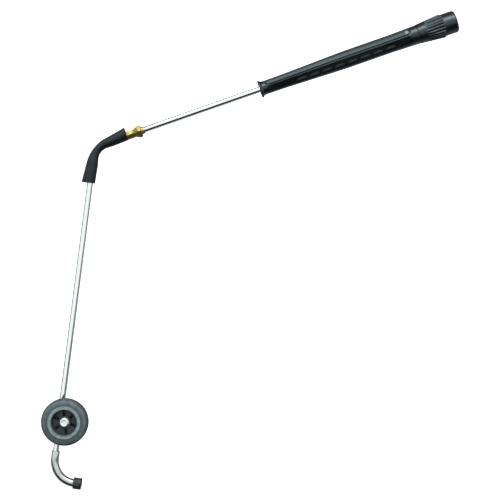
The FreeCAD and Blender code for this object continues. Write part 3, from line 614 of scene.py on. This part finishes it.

# ABS, moulded with a satin face: its mid grey is a painted highlight, the brightness a black cap shows when lit
# from above.
lit_grey_abs = new_material("ABS, moulded satin", {"Roughness": 0.45}, [(2, 3, 0)],
                        ((0.0, "#5f676a"), (1.0, "#757e81")))
out = polar(1, SCREW_ANGLE, 0).normalized()
screw_frame = UPPER @ axis_frame(polar(0, 0, SCREW_AT), out, Vector((0, 0, 1)))
outline = [(0.01, SCREW_SEAT - SCREW_DEEP), (SCREW_R, SCREW_SEAT - SCREW_DEEP), (SCREW_R, SCREW_SEAT),
           (SCREW_HEAD_R, SCREW_SEAT), (SCREW_HEAD_R, SCREW_TOP - 0.25), (SCREW_HEAD_R - 0.5, SCREW_TOP),
           (SCREW_DOME_R, SCREW_TOP + 0.2), (0.01, SCREW_TOP + 0.25)]
grip_screw = turned("grip_screw_cap", outline, screw_frame, lit_grey_abs, solid=True, sides=64, ease=0.2)
piece_of(grip_screw, "lance", "grey_plastic_cap", "grip_screw")

# Valve ----------------------------------------------------
# Inside the grip's rear end: a brass housing with two lapped ceramic discs, a seal, a gland nut, an acetal
# thrust washer and the spring-steel clip that keeps the twist sleeve on. None of it shows from outside.

# Acetal, turned: milky white, slightly glossy.
acetal = new_material("acetal, turned natural white", {
    "Roughness": 0.35, "Subsurface Weight": 0.1, "Subsurface Scale": 1 * MM}, [(3, 2, 0)],
    ((0.0, "#dedcd2"), (1.0, "#eeece4")))

# Alumina, sintered and lapped: near white and smooth.
alumina = new_material("alumina ceramic, lapped", {"Base Color": "#efece4"}, [(0.8, 2, 0)],
                       rough=(0, 1, 0.15, 0.25))

# Spring steel, stamped and phosphated: dull dark grey, slightly blotchy.
spring_steel = new_material("spring steel, phosphated", {"Metallic": 1.0, "Roughness": 0.45}, [(1.5, 4, 0)],
                            ((0.0, "#55575a"), (1.0, "#7c7f82")))

# Brass, turned and left bare in the water: redder than the union, and blotchy.
wet_brass = new_material("brass, turned and dulled by water", {"Metallic": 1.0}, [(2.5, 4, 0)],
                         ((0.0, "#a8864a"), (1.0, "#d2b06a")), (0, 1, 0.25, 0.42))

dress(wet_brass, "valve_housing", "gland_nut")
dress(alumina, "fixed_disc", "turning_disc")
dress(acetal, "thrust_washer")
dress(spring_steel, "sleeve_clip")

# Twist sleeve ---------------------------------------------
# The polypropylene collar that turns the valve: a cone with 24 finger flutes that run out at its wide
# end, then a plain bell that hides the hose nut. One flute's sector is drawn and repeated round the axis.

SLEEVE_CONE_R, SLEEVE_WIDE_R, SLEEVE_BELL_R, SLEEVE_BORE_R, SLEEVE_SKIRT_R = 16.5, 20.6, 19.0, 15.4, 13.0
SLEEVE_CONE_LONG = 42.7
WEB_AT, WEB_LONG, WEB_HOLE_R = 10.4, 6.0, 8.2
FLUTES, FLUTE_R = 24, 2.2
FLUTE_FRONT, FLUTE_REAR = 151.5, 184.5
FLUTE_FLOOR, FLUTE_TILT = 17.4, radians(2.3)
GROOVE_EASE = 0.12

# Polypropylene, moulded in a polished tool: the grip's black, smoother and a little darker.
smooth_poly = new_material("polypropylene, moulded smooth", {
    "Specular IOR Level": 0.6, "Specular Tint": "#dcf4ff"}, [(12, 4, 0), (0.8, 2, 0)],
    ((0.3, "#0b0d0e"), (0.7, "#121516")), (0.3, 0.7, 0.29, 0.37), (0.15, 0.02))


def repeat_round(name, sector, count, where, material, join=0.01):
    """Repeats a sector mesh about the local z axis with Geometry Nodes and closes it into one piece."""
    tree = bpy.data.node_groups.new(name + "_repeat", "GeometryNodeTree")
    inputs = (("Geometry", "Geometry"), ("Count", "Int"), ("Join Distance", "Float"), ("Material", "Material"))
    sockets = [tree.interface.new_socket(label, in_out="INPUT", socket_type="NodeSocket" + kind)
               for label, kind in inputs]
    tree.interface.new_socket("Geometry", in_out="OUTPUT", socket_type="NodeSocketGeometry")
    given = add_node(tree, "NodeGroupInput").outputs
    points = add_node(tree, "GeometryNodePoints", {"Count": given["Count"]})
    share = add_node(tree, "ShaderNodeMath", {0: 2 * pi, 1: given["Count"]}, operation="DIVIDE")
    index = add_node(tree, "GeometryNodeInputIndex")
    angle = add_node(tree, "ShaderNodeMath", {0: index, 1: share}, operation="MULTIPLY")
    spin = add_node(tree, "ShaderNodeCombineXYZ", {"Z": angle})
    spin = add_node(tree, "FunctionNodeEulerToRotation", {0: spin})
    copies = add_node(tree, "GeometryNodeInstanceOnPoints", {
        "Points": points, "Instance": given["Geometry"], "Rotation": spin})
    solid = add_node(tree, "GeometryNodeRealizeInstances", {"Geometry": copies})
    solid = add_node(tree, "GeometryNodeMergeByDistance", {
        "Geometry": solid, "Distance": given["Join Distance"]})
    solid = add_node(tree, "GeometryNodeSetMaterial", {"Geometry": solid, "Material": given["Material"]})
    add_node(tree, "NodeGroupOutput", {"Geometry": solid})
    holder = link_to_scene(name + "_sector", sector)
    modifier = holder.modifiers.new("repeat", "NODES")
    modifier.node_group = tree
    for socket, value in zip(sockets[1:], (count, join * MM, material)):
        modifier[socket.identifier] = value
    shape = bpy.data.meshes.new_from_object(holder.evaluated_get(bpy.context.evaluated_depsgraph_get()))
    bpy.data.objects.remove(holder)
    bm = bmesh.new()
    bm.from_mesh(shape)
    bm.transform(where)
    return close_mesh(name, bm, material)


def grooved_sector(outline, count, groove_r, floor_r, start, end, tilt=0.0):
    """One sector of a turned piece with a round groove along its middle, where its radius is over the groove's
    floor. The floor starts at a radius and rises by a tilt; the groove's edges are eased."""
    share = pi / count
    bm = bmesh.new()
    rows = []
    for r, z in outline:
        axis_r = floor_r + groove_r + (z - start) * tan(tilt)
        cut = start <= z <= end and axis_r - groove_r < r < axis_r + groove_r
        half = acos(min(1.0, (r * r + axis_r ** 2 - groove_r ** 2) / (2 * r * axis_r))) if cut else 0.0
        half = max(half, share * 0.15)
        angles = [-share, mix(-share, -half, 0.45), mix(-share, -half, 0.75)]
        angles += [half * f for f in (-1, -0.85, -0.6, -0.3, 0, 0.3, 0.6, 0.85, 1)]
        angles += [mix(half, share, f) for f in (0.25, 0.55, 1)]
        row = []
        for a in angles:
            radius = r
            if cut and abs(a) < half * 1.001:
                radius = min(r, axis_r * cos(a) - sqrt(max(0.0, groove_r ** 2 - (axis_r * sin(a)) ** 2)))
                if abs(a) > half * 0.9:
                    radius = max(axis_r - groove_r, radius - GROOVE_EASE)
            row.append(bm.verts.new(polar(radius, a, z)))
        rows.append(row)
    for one, two in zip(rows, rows[1:] + rows[:1]):
        for a, b, c, d in zip(one, one[1:], two[1:], two):
            bm.faces.new((a, b, c, d))
    sector = bpy.data.meshes.new("sector")
    bm.to_mesh(sector)
    bm.free()
    return sector


front, rear = reach("twist_sleeve", UPPER)
step = front + SLEEVE_CONE_LONG
web_rear = front + WEB_AT + WEB_LONG
outline = [(SLEEVE_SKIRT_R, front), (SLEEVE_CONE_R, front)]
outline += ramp((SLEEVE_CONE_R + 0.2, front + 0.6), (SLEEVE_WIDE_R, step), 30)
outline += [(SLEEVE_WIDE_R, step + 1.2), (SLEEVE_BELL_R + 0.6, step + 1.9), (SLEEVE_BELL_R, step + 2.8)]
outline += [(SLEEVE_BELL_R, z) for z in (FLUTE_REAR - 0.05, FLUTE_REAR + 0.1, rear - 10, rear - 2)]
outline += [(SLEEVE_BELL_R - 1.6, rear), (SLEEVE_BORE_R, rear), (SLEEVE_BORE_R, web_rear)]
outline += [(WEB_HOLE_R, web_rear), (WEB_HOLE_R, front + WEB_AT), (SLEEVE_SKIRT_R, front + WEB_AT)]
sector = grooved_sector(eased(outline, 0.45, True, 2), FLUTES, FLUTE_R, FLUTE_FLOOR, FLUTE_FRONT, FLUTE_REAR,
                        FLUTE_TILT)
sleeve = repeat_round("twist_sleeve_fluted", sector, FLUTES, UPPER, smooth_poly)
piece_of(sleeve, "valve_sleeve", "black_polypropylene", "twist_sleeve")

# Hose nipple ----------------------------------------------
# The brass spindle turned by the sleeve: inside the bell it ends in a hexagon and a G 1/4 male thread.

NIPPLE_R, NIPPLE_LONG, NIPPLE_BORE_R = 6.58, 12.0, 4.6
G_PITCH, G_DEPTH = 1.337, 0.8
DRIVE_HEX, DRIVE_HEX_LONG = 16.0, 12.0
COLLAR_R, COLLAR_LONG, SPINDLE_R, SPINDLE_BORE_R = 10.0, 2.0, 7.0, 3.5


def thread(thread_r, start, end, pitch, depth):
    """A shape that cuts a screw thread into the wall of a given radius, running out at both ends."""
    def shape(r, z, a):
        if abs(r - thread_r) > 1e-6 or not start < z < end:
            return r
        fade = soft_step(z, start, start + pitch) * (1 - soft_step(z, end - pitch, end))
        wave = abs(2 * ((z / pitch - a / (2 * pi)) % 1.0) - 1)
        return r - depth * fade * min(1.0, max(0.0, wave * 1.25 - 0.12))
    return shape


def joined(name, material, *pieces):
    """Several closed shapes of one moulding or turning, kept together as one piece."""
    bm = bmesh.new()
    for piece in pieces:
        bm.from_mesh(piece.data)
        bpy.data.objects.remove(piece)
    return close_mesh(name, bm, material, 40)


front, rear = reach("inlet_spindle", UPPER)
nipple_front = rear - NIPPLE_LONG
hex_front = nipple_front - DRIVE_HEX_LONG
outline = [(NIPPLE_R - 0.6, nipple_front - 0.5)] + ramp((NIPPLE_R, nipple_front), (NIPPLE_R, rear - 1), 90)
outline += [(NIPPLE_R - 1, rear), (NIPPLE_BORE_R, rear), (NIPPLE_BORE_R, nipple_front - 0.5)]
nipple = turned("nipple", outline, UPPER, wet_brass, sides=72, ease=0.2,
                shape=thread(NIPPLE_R, nipple_front + 0.6, rear - 0.8, G_PITCH, G_DEPTH))
outline = [(SPINDLE_R, front), (SPINDLE_R, hex_front - COLLAR_LONG), (COLLAR_R, hex_front - COLLAR_LONG),
           (COLLAR_R, hex_front - 0.02)]
outline += hexagon_outline(DRIVE_HEX, hex_front, nipple_front, 0.2)
outline += [(SPINDLE_BORE_R, nipple_front), (SPINDLE_BORE_R, front)]
spindle = turned("spindle", outline, UPPER, wet_brass, sides=144, ease=0.2,
                 shape=hexagon(DRIVE_HEX, hex_front, nipple_front))
piece_of(joined("hose_nipple", wet_brass, nipple, spindle), "valve_sleeve", "brass_turned", "inlet_spindle")

# Inlet strainer -------------------------------------------
# A small cup of woven stainless wire pressed into the nipple. Its wires are drawn 1 mm apart, about twice
# the real spacing.

STRAINER_R, WIRE_R = 4.45, 0.14
STRAINER_HOOPS, STRAINER_STAVES = 12, 24

# Stainless wire, woven and bright.
wire_mesh = new_material("stainless wire, woven", {"Base Color": "#c4c7c9", "Metallic": 1.0}, [(1, 2, 0)],
                         rough=(0, 1, 0.2, 0.4))

front, rear = reach("inlet_strainer", UPPER)
gap = (rear - front - 1) / (STRAINER_HOOPS - 1)
hoops = []
for i in range(STRAINER_HOOPS):
    z = front + 0.4 + gap * i
    section = [(STRAINER_R - WIRE_R + WIRE_R * cos(pi * k / 3), z + WIRE_R * sin(pi * k / 3)) for k in range(6)]
    hoops.append(turned("hoop", section, UPPER, wire_mesh, sides=36, ease=0.0))
stave = bmesh.new()
bmesh.ops.create_cone(stave, cap_ends=True, segments=6, radius1=WIRE_R * MM, radius2=WIRE_R * MM,
                      depth=(rear - front - 0.6) * MM,
                      matrix=Matrix.Translation(Vector((STRAINER_R - WIRE_R, 0, (front + rear) / 2)) * MM))
stave_mesh = bpy.data.meshes.new("stave")
stave.to_mesh(stave_mesh)
stave.free()
staves = repeat_round("staves", stave_mesh, STRAINER_STAVES, UPPER, wire_mesh, join=0.001)
floor_disc = turned("floor", [(0.01, front + 0.2), (STRAINER_R, front + 0.2), (STRAINER_R, front + 0.5),
                              (0.01, front + 0.5)], UPPER, wire_mesh, solid=True, sides=36, ease=0.05)
piece_of(joined("woven_strainer", wire_mesh, *hoops, staves, floor_disc), "valve_sleeve", "strainer_mesh",
         "inlet_strainer")

# Pipe clamp -----------------------------------------------
# Two moulded nylon halves that close round the lower pipe. The axle bolt pulls one side together and a
# short hexagon screw, entered from behind, the other.

CLAMP_EDGE = 0.6
SOFT_CREASE = 28                # an edge sharper than this, in degrees, is rounded


def softened(name, node, material, width):
    """A frame node's shape redrawn as one closed mesh with its edges rounded."""
    bm = bmesh.new()
    bm.from_mesh(frame["nodes"][node].data)
    bmesh.ops.remove_doubles(bm, verts=bm.verts, dist=0.001 * MM)
    bmesh.ops.dissolve_limit(bm, angle_limit=radians(0.5), verts=bm.verts, edges=bm.edges)
    edges = [e for e in bm.edges if len(e.link_faces) == 2 and e.calc_face_angle(0) > radians(SOFT_CREASE)]
    bmesh.ops.bevel(bm, geom=edges, offset=width * MM, offset_type="OFFSET", segments=3, profile=0.5,
                    affect="EDGES", clamp_overlap=True)
    for layer in list(bm.loops.layers.uv.values()):
        bm.loops.layers.uv.remove(layer)
    return close_mesh(name, bm, material, SOFT_CREASE)


# Polyamide 6 with glass, moulded: dense black with a faint mottle of fibre at the skin.
nylon = new_material("polyamide with glass fibre, moulded", {
    "Roughness": 0.48, "Specular IOR Level": 0.45, "Specular Tint": "#dff2fa"}, [(1.4, 5, 0.6)],
    ((0.35, "#2b3235"), (0.75, "#3b4448")), bump=(0.25, 0.03))

for half in ("front", "rear"):
    clamp = softened("clamp_half_" + half, "clamp_" + half, nylon, CLAMP_EDGE)
    piece_of(clamp, "lance", "black_nylon", "clamp_" + half)

# Axle -----------------------------------------------------
# An M8 hexagon bolt through washers, a steel spacer sleeve and the clamp, with a lock nut behind. All zinc
# plated. The wheel turns on the spacer sleeve, with an acetal bush between.

BOLT_R, BOLT_PITCH, BOLT_DEPTH = 4.0, 1.25, 0.75
BOLT_HEX, HEAD_LONG, THREAD_LONG = 13.0, 5.3, 22.0
WASHER_R, WASHER_LONG = 7.5, 1.6
NUT_COLLAR_LONG = 1.8
DISH_R, DISH_DEEP = 3.9, 0.5            # the shallow dish forged into the bolt's head
CLAMP_HEX, CLAMP_HEAD_LONG, CLAMP_SCREW_R = 8.0, 3.5, 2.5

# Mild steel, cold forged and bright zinc plated: silvery with a faint blue cast and a soft plated bloom.
zinc = new_material("steel, bright zinc plated", {"Metallic": 1.0}, [(2.6, 4, 0)],
                    ((0.3, "#d3d8da"), (0.7, "#eef0ef")), (0.3, 0.7, 0.18, 0.32))

AXLE = axis_frame(Vector((axle_spot.x, 0, axle_spot.z)), WHEEL_SIDE, INWARD)
tip, head_face = reach("axle_bolt", AXLE)
seat = head_face - HEAD_LONG
corner_r = BOLT_HEX / sqrt(3) - 0.1
outline = [(0.01, head_face - DISH_DEEP), (DISH_R, head_face - DISH_DEEP), (DISH_R + DISH_DEEP, head_face)]
outline += ramp((BOLT_HEX / 2 - 0.25, head_face), (corner_r, head_face - 0.75)) + [(corner_r, seat + 0.3)]
outline += [(BOLT_HEX / 2, seat), (BOLT_R, seat), (BOLT_R, tip + THREAD_LONG)]
outline += ramp((BOLT_R, tip + THREAD_LONG - 0.1), (BOLT_R, tip + 0.8), 140)
outline += [(BOLT_R - 0.8, tip), (0.01, tip)]
bolt_head = hexagon(BOLT_HEX, seat, head_face)
bolt_thread = thread(BOLT_R, tip + 0.4, tip + THREAD_LONG, BOLT_PITCH, BOLT_DEPTH)
bolt = turned("axle_bolt_hexagon", outline, AXLE, zinc, solid=True, ease=0.2,
              shape=lambda r, z, a: bolt_head(r, z, a) if z >= seat else bolt_thread(r, z, a))
piece_of(bolt, "lance", "zinc_steel", "axle_bolt")

washers = []
for z in (seat - WASHER_LONG, reach("clamp_front", AXLE)[1], reach("clamp_rear", AXLE)[0] - WASHER_LONG):
    washers.append(turned("washer", [(BOLT_R + 0.2, z), (WASHER_R, z), (WASHER_R, z + WASHER_LONG),
                                     (BOLT_R + 0.2, z + WASHER_LONG)], AXLE, zinc, ease=0.35))
piece_of(joined("axle_washer_set", zinc, *washers), "lance", "zinc_steel", "axle_washers")

back, front = reach("axle_lock_nut", AXLE)
outline = [(BOLT_R + 0.02, back), (BOLT_HEX / 2 - 1.1, back), (BOLT_HEX / 2 - 0.6, back + 0.5),
           (BOLT_HEX / 2 - 0.6, back + NUT_COLLAR_LONG)]
outline += hexagon_outline(BOLT_HEX, back + NUT_COLLAR_LONG, front, 0.3) + [(BOLT_R + 0.02, front)]
nut = turned("axle_nut_locking", outline, AXLE, zinc, ease=0.2, shape=hexagon(BOLT_HEX))
piece_of(nut, "lance", "zinc_steel", "axle_lock_nut")

back, front = reach("clamp_screw", AXLE)
screw_middle = sum(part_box("clamp_screw"), Vector()) / 2
SCREW = axis_frame(Vector((screw_middle.x, 0, screw_middle.z)), WHEEL_SIDE, INWARD)
outline = [(0.01, back)] + hexagon_outline(CLAMP_HEX, back, back + CLAMP_HEAD_LONG, 0.3)
outline += [(CLAMP_SCREW_R, back + CLAMP_HEAD_LONG), (CLAMP_SCREW_R, front - 0.5), (CLAMP_SCREW_R - 0.5, front),
            (0.01, front)]
clamp_screw = turned("clamp_screw_hexagon", outline, SCREW, zinc, solid=True, ease=0.2,
                     shape=hexagon(CLAMP_HEX))
piece_of(clamp_screw, "lance", "zinc_steel", "clamp_screw")
dress(zinc, "axle_sleeve")
dress(acetal, "wheel_bush")

# Wheel hub ------------------------------------------------
# One nylon moulding: a rim under the tyre, a boss on the bush and six wedge webs with a deep blind slot
# between each pair, set back inside the rim.

RIM_R, RIM_WALL, BOSS_R, BOSS_BORE_R, BOSS_GAP = 22.2, 2.2, 10.5, 7.5, 0.2
WEBS, WEB_SLOT, WEB_BACK, WEB_FACE, SLOT_FLOOR = 6, 4.3, 12.0, 23.0, 1.6
SLOT_FIRST = radians(43.3)
SINK = 0.4                      # how far webs and slot floor run into the rim and the boss

back, face = reach("wheel_hub", AXLE)
boss_back, boss_face = reach("axle_sleeve", AXLE)
boss_back, boss_face = boss_back + BOSS_GAP, boss_face - BOSS_GAP


def wedge(inset, z):
    """One web's outline at a station, its two long sides parallel to the slots beside it."""
    side, inner, outer = WEB_SLOT / 2 + inset, BOSS_R - SINK, RIM_R - RIM_WALL + SINK
    half = pi / WEBS
    points = []
    for r, way in ((inner, 1), (outer, -1)):
        limit = half - asin(side / r)
        points += [(r, way * limit * (k / 6 - 1)) for k in range(13)]
    return [polar(r, a, z) for r, a in points]


web = skin("web", [wedge(inset, z) for inset, z in (
    (0.7, WEB_BACK), (0.2, WEB_BACK + 0.2), (0, WEB_BACK + 0.7), (0, WEB_FACE - 0.7), (0.2, WEB_FACE - 0.2),
    (0.7, WEB_FACE))], nylon)
sector = web.data.copy()
bpy.data.objects.remove(web)
webs = repeat_round("webs", sector, WEBS, AXLE @ Matrix.Rotation(SLOT_FIRST + pi / WEBS, 4, "Z"), nylon)
rim = turned("rim", [(RIM_R, back), (RIM_R, face), (RIM_R - 0.5, face), (RIM_R - 1.3, face - 0.9),
                     (RIM_R - RIM_WALL, WEB_FACE - 0.5), (RIM_R - RIM_WALL, WEB_BACK + 0.5),
                     (RIM_R - 0.5, back)], AXLE, nylon, ease=0.25)
boss = turned("boss", [(BOSS_BORE_R, boss_back), (BOSS_R, boss_back), (BOSS_R, boss_face),
                       (BOSS_BORE_R, boss_face)], AXLE, nylon, ease=0.5)
slot_floor = turned("slot_floor", [(BOSS_R - SINK, WEB_BACK + 0.05), (RIM_R - RIM_WALL + SINK, WEB_BACK + 0.05),
                                   (RIM_R - RIM_WALL + SINK, WEB_BACK + SLOT_FLOOR),
                                   (BOSS_R - SINK, WEB_BACK + SLOT_FLOOR)], AXLE, nylon, ease=0.1)
piece_of(joined("hub_moulding", nylon, webs, rim, boss, slot_floor), "wheel", "black_nylon", "wheel_hub")

# Tyre -----------------------------------------------------
# Solid grey rubber, moulded: a smooth flat ring beside the rim, a small step, then a slightly rougher
# domed shoulder that rounds over into a plain tread.

WHEEL_R = 40.0
BEAD_R, BEAD_STEP = 28.5, 0.8
DOME_R, DOME_DEEP, DOME_TURN = BEAD_R + 0.3, 7.4, 6     # where the dome starts, its depth, degrees a step
# colour from the rim out: the smooth ring, a dark line of painted shade along the step at its outer edge, the
# shoulder and a lighter line on it
TONES_AND_STEP_SHADE = ((0.0, "#5d686b"), (0.06, "#7b888b"), (0.30, "#818e91"), (0.345, "#353c3f"), (0.40, "#4a5356"),
         (0.60, "#525c5f"), (0.72, "#566164"), (0.755, "#6d797c"), (0.79, "#4c5558"), (1.0, "#3f474a"))

back, face = reach("tyre", AXLE)
shoulder = [(RIM_R, 0.0), (RIM_R + 0.5, 0.0), (BEAD_R - 0.5, 0.0), (BEAD_R, 0.3), (DOME_R, BEAD_STEP)]
for degrees in range(DOME_TURN, 91, DOME_TURN):
    a = radians(degrees)
    shoulder.append((DOME_R + (WHEEL_R - DOME_R) * sin(a), BEAD_STEP + DOME_DEEP * (1 - cos(a))))
outline = [(r, back + z) for r, z in shoulder] + [(r, face - z) for r, z in shoulder[::-1]]

# Rubber, moulded grey: dusty, a little mottled, with a lighter ring next to the rim, smoother where it was pressed
# flat.
rubber = new_material("rubber, moulded grey", {
    "Roughness": 0.6, "Specular IOR Level": 0.4, "Specular Tint": "#dff2fa"}, [(1.1, 3, 0)], bump=(0.5, 0.06))
tree = rubber.node_tree
place = add_node(tree, "ShaderNodeTexCoord").outputs["Object"]
scuff = add_node(tree, "ShaderNodeTexNoise", {"Vector": place, "Scale": 1 / (6 * MM), "Detail": 6})
across = add_node(tree, "ShaderNodeVectorMath", {0: place, 1: axle_spot}, operation="SUBTRACT")
across = add_node(tree, "ShaderNodeVectorMath", {0: across, 1: (1, 0, 1)}, operation="MULTIPLY")
across = add_node(tree, "ShaderNodeVectorMath", {0: across}, operation="LENGTH")
across = add_node(tree, "ShaderNodeMapRange", {0: across.outputs["Value"], 1: RIM_R * MM, 2: WHEEL_R * MM})
# the radial colour bands, with painted shade along the ring's step
band_colour_with_step_shade = add_node(tree, "ShaderNodeValToRGB", {0: across}, TONES_AND_STEP_SHADE)
dust = add_node(tree, "ShaderNodeMapRange", {0: scuff, 1: 0.3, 2: 0.7, 3: 0.66, 4: 1.16})
tone = add_node(tree, "ShaderNodeVectorMath", {0: band_colour_with_step_shade, 1: dust}, operation="MULTIPLY")
wire(tree, tree.nodes["Principled BSDF"], {"Base Color": tone})
tyre = turned("solid_tyre", outline, AXLE, rubber, sides=144, ease=0.35)
piece_of(tyre, "wheel", "grey_rubber", "tyre")

# Nozzle ---------------------------------------------------
# A nickel-plated brass elbow brazed on the pipe's end, turned a quarter towards the inside of the bend, with
# a grooved acetal cap that holds the packing, swirl core and ceramic orifice against it.

NOZZLE_ARC_R, NOZZLE_ARC_STEPS, NOZZLE_TUBE_R, OUTLET_R = 38.0, 36, 6.9, 6.58
NOZZLE_SOCKET_DEEP, NOZZLE_BORE_R = 10.0, 4.0
CAP_R, CAP_POCKET_R, CAP_MOUTH_R = 10.0, 7.0, 4.0
CAP_GRIPS, CAP_GRIP_R, CAP_GRIP_DEEP = 12, 1.0, 0.6
CAP_PLAIN_BACK, CAP_PLAIN_FACE = 1.5, 3.0       # plain rims beside the cap's grip grooves

# Brass, cast, ground and nickel plated: soft grey, slightly rippled by grinding.
nickel = new_material("brass, nickel plated", {"Metallic": 1.0}, [(4, 3, 0)],
                      ((0.3, "#aeb2af"), (0.7, "#c6c9c7")), (0.3, 0.7, 0.14, 0.26), (0.15, 0.05))

nozzle_station = (LOWER.inverted() @ (sum(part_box("orifice_disc"), Vector()) / 2)).z / MM
NOZZLE = axis_frame(corner + DOWN * nozzle_station * MM, INWARD, DOWN)
arc_start = nozzle_station - NOZZLE_ARC_R
socket_start = reach("nozzle_elbow", LOWER)[0]
arc_middle = corner + (DOWN * arc_start + INWARD * NOZZLE_ARC_R) * MM
outlet_end = reach("nozzle_elbow", NOZZLE)[1]
spine = [(corner + DOWN * w * MM, -INWARD, r) for w, r in
         ((socket_start, NOZZLE_TUBE_R - 0.5), (socket_start + 0.15, NOZZLE_TUBE_R - 0.15),
          (socket_start + 0.5, NOZZLE_TUBE_R))]
for i in range(NOZZLE_ARC_STEPS + 1):
    a = pi / 2 * i / NOZZLE_ARC_STEPS
    out = -INWARD * cos(a) + DOWN * sin(a)
    spine.append((arc_middle + out * NOZZLE_ARC_R * MM, out, NOZZLE_TUBE_R))
rings = [hoop(c, out, r) for c, out, r in spine]
rings += [hoop(NOZZLE @ polar(0, 0, z), DOWN, r) for z, r in
          ((NOZZLE_ARC_R + 0.3, NOZZLE_TUBE_R), (NOZZLE_ARC_R + 0.4, OUTLET_R), (outlet_end, OUTLET_R),
           (outlet_end, NOZZLE_BORE_R), (NOZZLE_ARC_R, NOZZLE_BORE_R))]
rings += [hoop(c, out, NOZZLE_BORE_R) for c, out, r in spine[:3:-1]]
socket_floor = socket_start + NOZZLE_SOCKET_DEEP
rings += [hoop(corner + DOWN * z * MM, -INWARD, r) for z, r in
          ((socket_floor, NOZZLE_BORE_R), (socket_floor, PIPE_R), (socket_start, PIPE_R))]
piece_of(skin("spray_elbow", rings, nickel, closed=True), "lance", "nickel_brass", "nozzle_elbow")

# Acetal, moulded black: hard, with a low even gloss.
black_acetal = new_material("acetal, moulded black", {"Base Color": "#1c1d1f"}, [(3, 3, 0)],
                            rough=(0.3, 0.7, 0.28, 0.38))

back, face = reach("nozzle_cap", NOZZLE)
orifice_face = reach("orifice_disc", NOZZLE)[1]
groove_back, groove_face = back + CAP_PLAIN_BACK, face - CAP_PLAIN_FACE
outline = [(CAP_POCKET_R, back), (CAP_R - 0.8, back), (CAP_R, back + 0.8)]
outline += [(CAP_R, groove_back - 0.1), (CAP_R, groove_back)]
outline += ramp((CAP_R, groove_back + 0.5), (CAP_R, groove_face - 0.6), 8)
outline += [(CAP_R, groove_face), (CAP_R, groove_face + 0.1), (CAP_R, face - 1.0), (CAP_R - 1.0, face)]
outline += [(CAP_MOUTH_R + 1, face), (CAP_MOUTH_R - 1, orifice_face), (CAP_POCKET_R, orifice_face)]
sector = grooved_sector(eased(outline, 0.2, True, 2), CAP_GRIPS, CAP_GRIP_R, CAP_R - CAP_GRIP_DEEP,
                        groove_back, groove_face)
cap = repeat_round("spray_cap", sector, CAP_GRIPS, NOZZLE, black_acetal)
piece_of(cap, "lance", "black_acetal", "nozzle_cap")
dress(acetal, "swirl_core")
dress(alumina, "orifice_disc")
